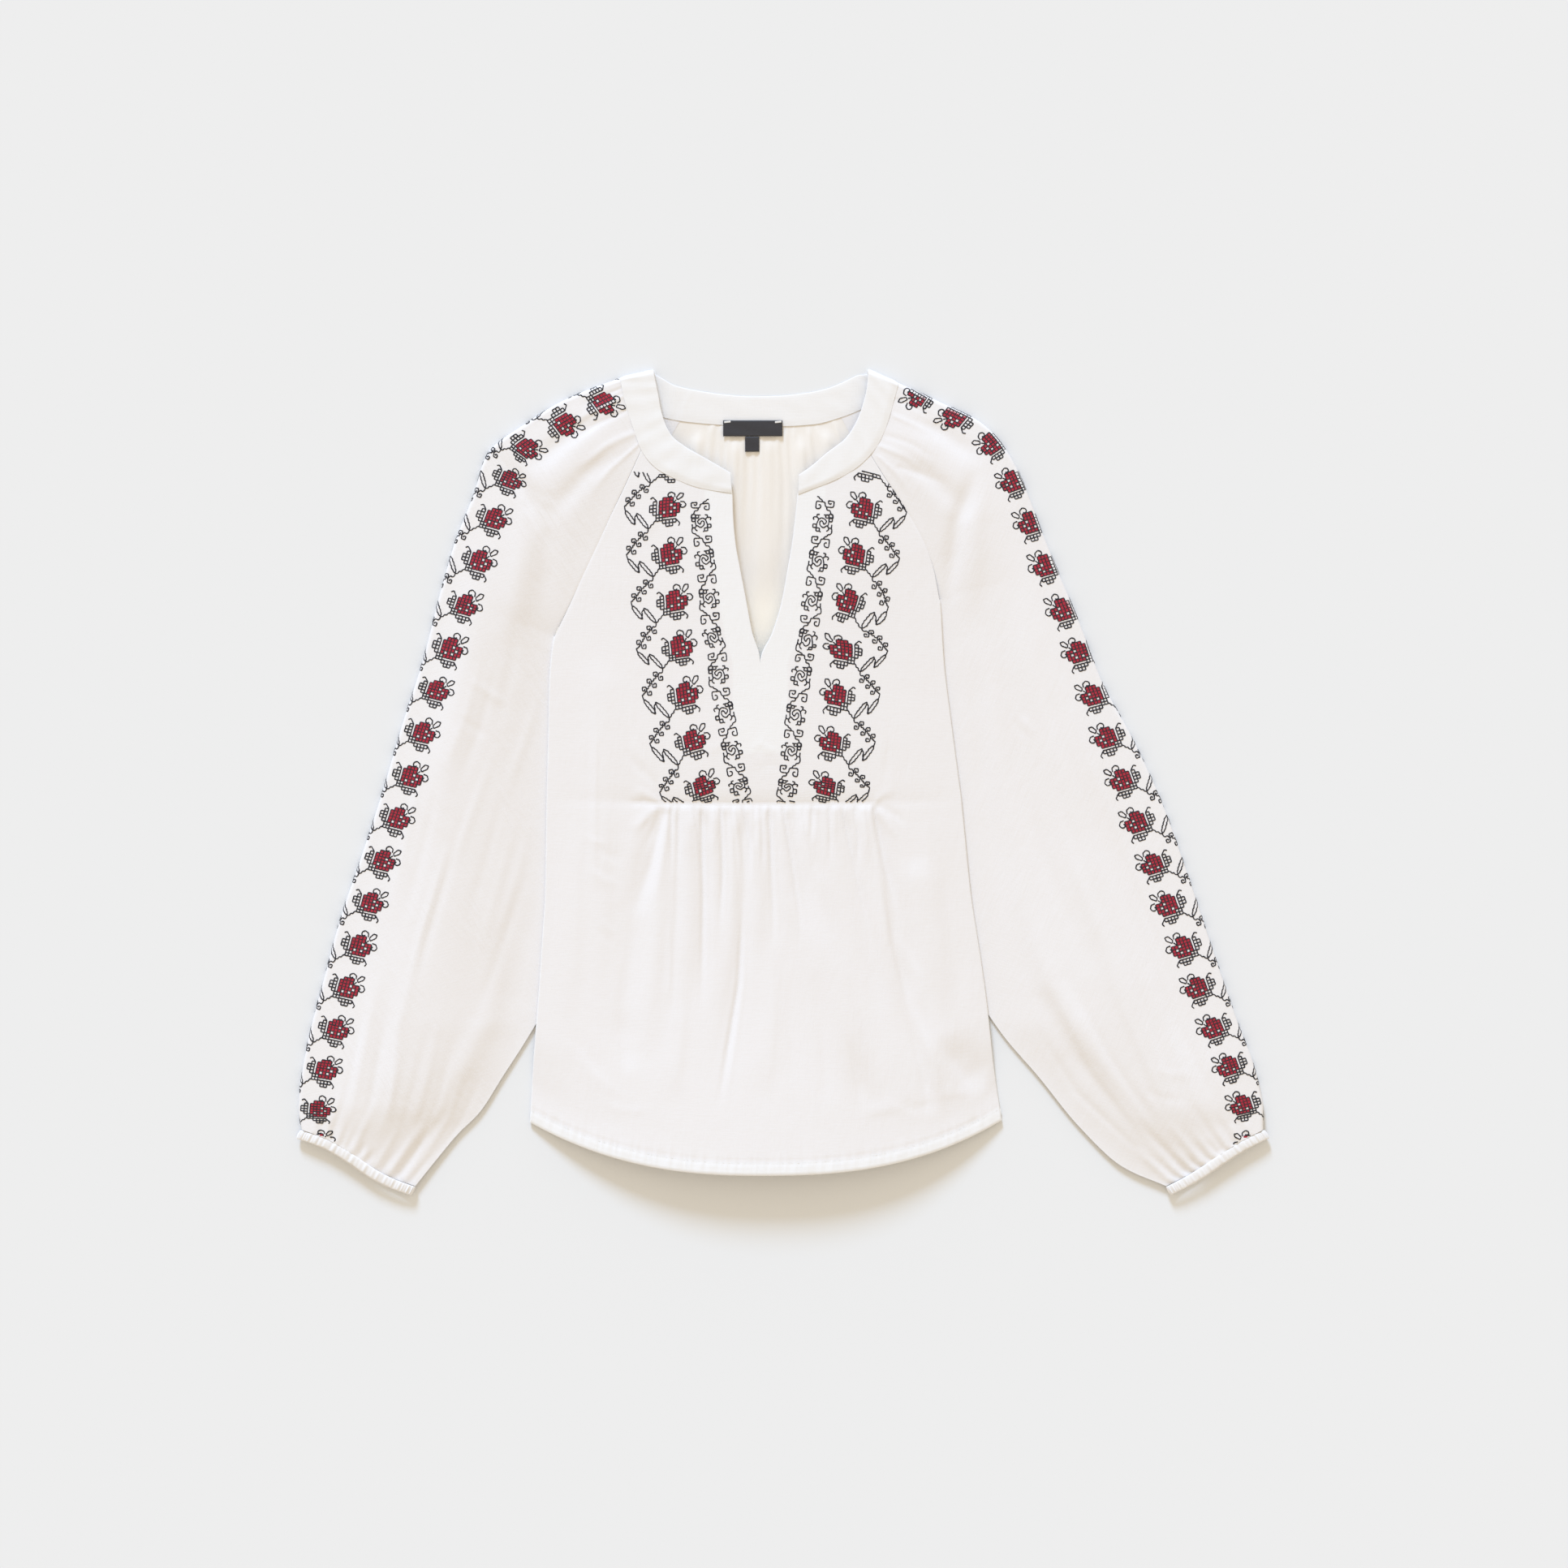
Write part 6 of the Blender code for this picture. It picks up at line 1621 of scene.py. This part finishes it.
BIB_FLOWERS = {
    "righthand": [(825, 625), (827, 683), (834, 740), (840, 797), (847, 855), (856, 912),
                  (868, 968)],
    "lefthand": [(1062, 627), (1052, 684), (1043, 741), (1036, 800), (1029, 857), (1023, 914),
                 (1016, 968)],
}
SLEEVE_FLOWERS = {
    "righthand": [(746, 498), (698, 524), (651, 554), (631, 592), (612, 640), (594, 692),
                  (576, 747), (558, 800), (541, 851), (524, 903), (509, 957), (493, 1008),
                  (475, 1060), (460, 1112), (446, 1165), (431, 1216), (418, 1267), (404, 1316),
                  (396, 1366)],
    "lefthand": [(1130, 489), (1174, 515), (1220, 548), (1245, 594), (1267, 645), (1286, 699),
                 (1307, 752), (1326, 804), (1344, 857), (1361, 909), (1380, 961), (1398, 1013),
                 (1418, 1065), (1436, 1115), (1455, 1167), (1472, 1216), (1492, 1266), (1511, 1313),
                 (1528, 1361)],
}
# The scroll border: a rosette around a double spiral, joined to the next by two hooks. Charted in
# cells from the rosette's middle; alternate ones are turned over.
SCROLL_PITCH = 11.0
SCROLL_FIRST_LINE = 2.9
SCROLL_LINES = [
    [(1.8, 1.6), (1.8, 0.5), (1.5, -0.5), (1.3, -1.0), (0.6, -1.45), (-0.2, -1.25), (-0.8, -0.8),
     (-1.0, -0.35), (-0.7, 0.15), (-0.2, 0.45), (0.0, -0.15), (0.4, -0.6), (0.85, -0.4), (1.0, 0.2),
     (0.8, 0.8), (0.3, 1.25), (-0.2, 1.45), (-0.7, 1.2), (-0.95, 0.85), (-1.4, 0.8), (-1.6, 0.4),
     (-1.65, -0.4), (-1.6, -1.4)],
    [(1.3, -1.0), (1.85, -1.5), (2.0, -2.3), (1.2, -2.4)],
    [(1.85, -1.5), (2.6, -1.55), (3.0, -1.2), (2.7, -0.6)],
    [(-1.4, 0.8), (-1.8, 1.4), (-1.8, 2.0), (-1.2, 2.4)],
    [(-1.8, 1.4), (-2.6, 1.4)],
    [(-2.6, 0.3), (-2.6, 1.4), (-2.8, 2.0), (-2.8, 2.8), (-2.4, 3.2), (-1.8, 3.3), (-1.6, 3.8),
     (-1.0, 4.0), (-0.6, 4.7)],
    [(-0.6, 4.7), (-2.3, 4.6), (-2.5, 5.2), (-2.5, 6.7), (-2.2, 6.95), (-1.3, 6.8), (-1.05, 6.1),
     (-1.3, 5.65), (-1.8, 5.7)],
    [(-0.6, 4.7), (0.0, 4.8), (0.2, 5.9), (0.6, 6.2)],
    [(0.6, 6.2), (2.3, 6.2), (2.7, 5.8), (2.7, 4.4), (1.0, 4.2), (1.1, 5.1), (1.8, 5.3),
     (1.9, 4.9)],
    [(0.6, 6.2), (0.8, 7.1), (1.7, 7.2), (2.1, 8.3), (2.7, 8.5), (2.8, 9.5)],
    [(0.4, 2.8), (0.95, 2.5)],
    [(0.0, -2.4), (-0.6, -2.4)],
]
SCROLL_SQUARES = [(2.35, 1.15, 1.0), (1.35, 2.15, 0.95), (-2.1, -2.2, 1.05), (-1.05, -2.0, 0.9),
                  (-2.15, -1.0, 0.95)]
SCROLLS = {
    "righthand": [(864, 645), (869, 690), (874, 738), (879, 786), (885, 831), (893, 878),
                  (902, 924), (911, 969)],
    "lefthand": [(1014, 645), (1008, 692), (1000, 741), (994, 789), (987, 833), (980, 881),
                 (975, 925), (970, 970)],
}


def scroll_chart():
    """Outline stitches of one rosette and the link below it."""
    lines = list(SCROLL_LINES)
    for u, v, size in SCROLL_SQUARES:
        half = size / 2
        turns = ((-1, -1), (1, -1), (1, 1), (-1, 1), (-1, -1))
        lines.append([(u + half * right, v + half * down) for right, down in turns])
    return short_stitches(lines)


SCROLL_OUTLINE = scroll_chart()


def embroider_scroll(surface, centres, columns, mirror, limits):
    """Sews one scroll border, alternate rosettes turned over."""
    path = strip_path(surface, centres, columns)
    stitches = []
    for index in range(-1, len(centres)):
        turned = 1 if index % 2 == 0 else -1
        whole = SCROLL_OUTLINE.copy()
        if index < 0:
            whole = whole[np.minimum(whole[:, 1], whole[:, 3]) > SCROLL_FIRST_LINE]
        whole[:, 0::2] *= turned
        whole[:, 1::2] = index + whole[:, 1::2] / SCROLL_PITCH
        stitches.append(whole)
    stitches = np.vstack(stitches)
    first = chart_to_cloth(path, stitches[:, 0] * CELL * mirror, stitches[:, 1])
    second = chart_to_cloth(path, stitches[:, 2] * CELL * mirror, stitches[:, 3])
    return sewn_inside(surface, first, second, limits)


for hand, mirror in (("righthand", 1), ("lefthand", -1)):
    grid, at = front_grids[hand]
    bib = stitched_surface(grid, grid.shape[1] - 1)
    bib_foot = np.interp(BIB_SEAM_ROW - BIB_FOOT_GAP, at, np.arange(len(at)))
    limits = Limits(NECK_ROW, bib_foot, math.inf, 0, BIB_TOP_Y)
    made = embroider_flowers(bib, from_picture(BIB_FLOWERS[hand]), grid.shape[1], mirror, limits)
    for kind, *stitches, half, tall, material in made:
        thread_piece("bib_flowers_" + kind + "_" + hand, *stitches, half, tall, material)
    border = embroider_scroll(bib, from_picture(SCROLLS[hand]), grid.shape[1], mirror, limits)
    thread_piece("bib_scroll_" + hand, *border, OUTLINE_HALF, OUTLINE_TALL, black_thread)

    grid, at = sleeve_grids[hand]
    fold_column = SLEEVE_FRONT_CELLS + 2 + SLEEVE_TURN_CELLS // 2
    sleeve_surface = stitched_surface(grid, fold_column)
    limits = Limits(NECK_ROW, len(grid) - WRIST_ROWS, SHOULDER_WRAP, SHOULDER_WRAP_ROWS, math.inf)
    flower_places = from_picture(SLEEVE_FLOWERS[hand])
    made = embroider_flowers(sleeve_surface, flower_places, fold_column, mirror, limits)
    for kind, *stitches, half, tall, material in made:
        thread_piece("sleeve_flowers_" + kind + "_" + hand, *stitches, half, tall, material)


# The plain white sewing: a row of machine stitches that holds the hem's fold, and a small bar tack
# at each upper corner of the label. White polyester thread, pulled down into the cloth.
WHITE_LIGHT, WHITE_DARK = (0.88, 0.87, 0.85, 1.0), (0.80, 0.79, 0.77, 1.0)
HEM_STITCH_UP, HEM_STITCH_STEP, HEM_STITCH_GAP = 10.0, 2.6, 0.5
HEM_STITCH_START = 1.5
HEM_ROWS_SEARCHED = 40
HEM_STITCH_HALF, HEM_STITCH_TALL = 0.2, 0.16
TACK_WIDE, TACK_ROWS, TACK_HALF, TACK_TALL = 5.4, 3, 0.34, 0.3
TACK_INSET, TACK_STEP, TACK_SLANT, TACK_LIFT = 0.9, 0.45, 0.25, 0.05
white_thread = thread("white thread", WHITE_LIGHT, WHITE_DARK, 0.6)
for hand in ("righthand", "lefthand"):
    grid, at = front_grids[hand]
    climb = np.linalg.norm(np.diff(grid[::-1], axis=0), axis=2)
    climb = np.vstack([np.zeros(grid.shape[1]), np.cumsum(climb, axis=0)])
    line = []
    for column in range(grid.shape[1]):
        heights = climb[:HEM_ROWS_SEARCHED, column]
        places = grid[::-1][:HEM_ROWS_SEARCHED, column]
        line.append([np.interp(HEM_STITCH_UP, heights, places[:, axis]) for axis in range(3)])
    line = np.array(line)
    run = np.concatenate([[0.0], np.cumsum(np.linalg.norm(np.diff(line, axis=0), axis=1))])
    firsts = np.arange(HEM_STITCH_START, run[-1] - HEM_STITCH_STEP, HEM_STITCH_STEP)
    ends = [np.column_stack([np.interp(at_run, run, line[:, axis]) for axis in range(3)])
            for at_run in (firsts, firsts + HEM_STITCH_STEP - HEM_STITCH_GAP)]
    up = np.tile([0.0, 0.0, 1.0], (len(firsts), 1))
    thread_piece("hem_stitches_" + hand, *ends, up, up, HEM_STITCH_HALF, HEM_STITCH_TALL, white_thread)

tack_starts, tack_ends = [], []
for corner in (-1, 1):
    middle = LABEL_X + corner * (LABEL_WIDE / 2 - TACK_WIDE / 2 - TACK_INSET)
    for row in range(TACK_ROWS):
        y = LABEL_Y + LABEL_DEEP / 2 - TACK_INSET - TACK_STEP * row
        tall, by_x, by_y = LABEL_WAVE
        wave = tall * math.sin((middle - LABEL_X) * by_x + (y - LABEL_Y) * by_y)
        z = LABEL_UNDER + LABEL_WALL + wave + TACK_LIFT
        tack_starts.append((middle - TACK_WIDE / 2, y - TACK_SLANT, z))
        tack_ends.append((middle + TACK_WIDE / 2, y + TACK_SLANT, z))
up = np.tile([0.0, 0.0, 1.0], (len(tack_starts), 1))
thread_piece("label_tacks", np.array(tack_starts), np.array(tack_ends), up, up,
             TACK_HALF, TACK_TALL, white_thread)

# The surface, light and camera: a plain pale board, one soft cool light from beyond the neck and a
# warm even fill, and a camera that looks straight down, as for a catalogue picture.
BOARD_SIZE = 9.0
BOARD_PALE = (0.80, 0.80, 0.80, 1.0)
BOARD_GRAIN, BOARD_GRAIN_DEEP = 900.0, 0.1
board_mesh = bpy.data.meshes.new("board")
half_board = BOARD_SIZE / 2
board_corners = [(half_board * x, half_board * y, 0) for x, y in ((-1, -1), (1, -1), (1, 1), (-1, 1))]
board_mesh.from_pydata(board_corners, [], [(0, 1, 2, 3)])
board = bpy.data.objects.new("board", board_mesh)
bpy.context.scene.collection.objects.link(board)
board_paint, add, join, board_shader, board_place = new_finish("matte board")
board_grain = add("ShaderNodeTexNoise")
board_grain.inputs["Scale"].default_value = BOARD_GRAIN
join(board_place, "Object", board_grain, "Vector")
raise_surface(add, join, board_shader, board_grain, "Fac", 0.05, BOARD_GRAIN_DEEP)
board_shader.inputs["Base Color"].default_value = BOARD_PALE
board_shader.inputs["Roughness"].default_value = 0.95
board_shader.inputs["Specular IOR Level"].default_value = 0.0
board_mesh.materials.append(board_paint)

FILL_WARM = (1.0, 0.905, 0.758, 1.0)
FILL_STRENGTH = 0.857
SUN_COOL = (0.505, 0.70, 1.0)
SUN_STRENGTH = 3.37
SUN_ELEVATION, SUN_TURN, SUN_SPREAD = 23.0, 14.0, 14.0
world = bpy.data.worlds.new("soft studio")
world.use_nodes = True
world.node_tree.nodes["Background"].inputs["Color"].default_value = FILL_WARM
world.node_tree.nodes["Background"].inputs["Strength"].default_value = FILL_STRENGTH
bpy.context.scene.world = world
sun_data = bpy.data.lights.new("window light", "SUN")
sun_data.energy = SUN_STRENGTH
sun_data.color = SUN_COOL
sun_data.angle = math.radians(SUN_SPREAD)
sun = bpy.data.objects.new("window light", sun_data)
sun.rotation_euler = (math.radians(SUN_ELEVATION - 90.0), 0.0, math.radians(SUN_TURN))
bpy.context.scene.collection.objects.link(sun)

# The picture is 1932 pixels wide and 0.69 mm a pixel where the blouse lies
PICTURE_WIDE_PX = 1932
PICTURE_MIDDLE = (1.05 * MM, -1.65 * MM)
CAMERA_HEIGHT, SENSOR_WIDE = 3.2, 36.0
camera_data = bpy.data.cameras.new("overhead camera")
camera_data.sensor_width = SENSOR_WIDE
camera_data.lens = SENSOR_WIDE * CAMERA_HEIGHT / (PICTURE_WIDE_PX * MM_A_PIXEL * MM)
camera_data.clip_end = 50.0
camera = bpy.data.objects.new("overhead camera", camera_data)
camera.location = (*PICTURE_MIDDLE, CAMERA_HEIGHT)
bpy.context.scene.collection.objects.link(camera)
bpy.context.scene.camera = camera
bpy.context.scene.view_settings.view_transform = "Standard"
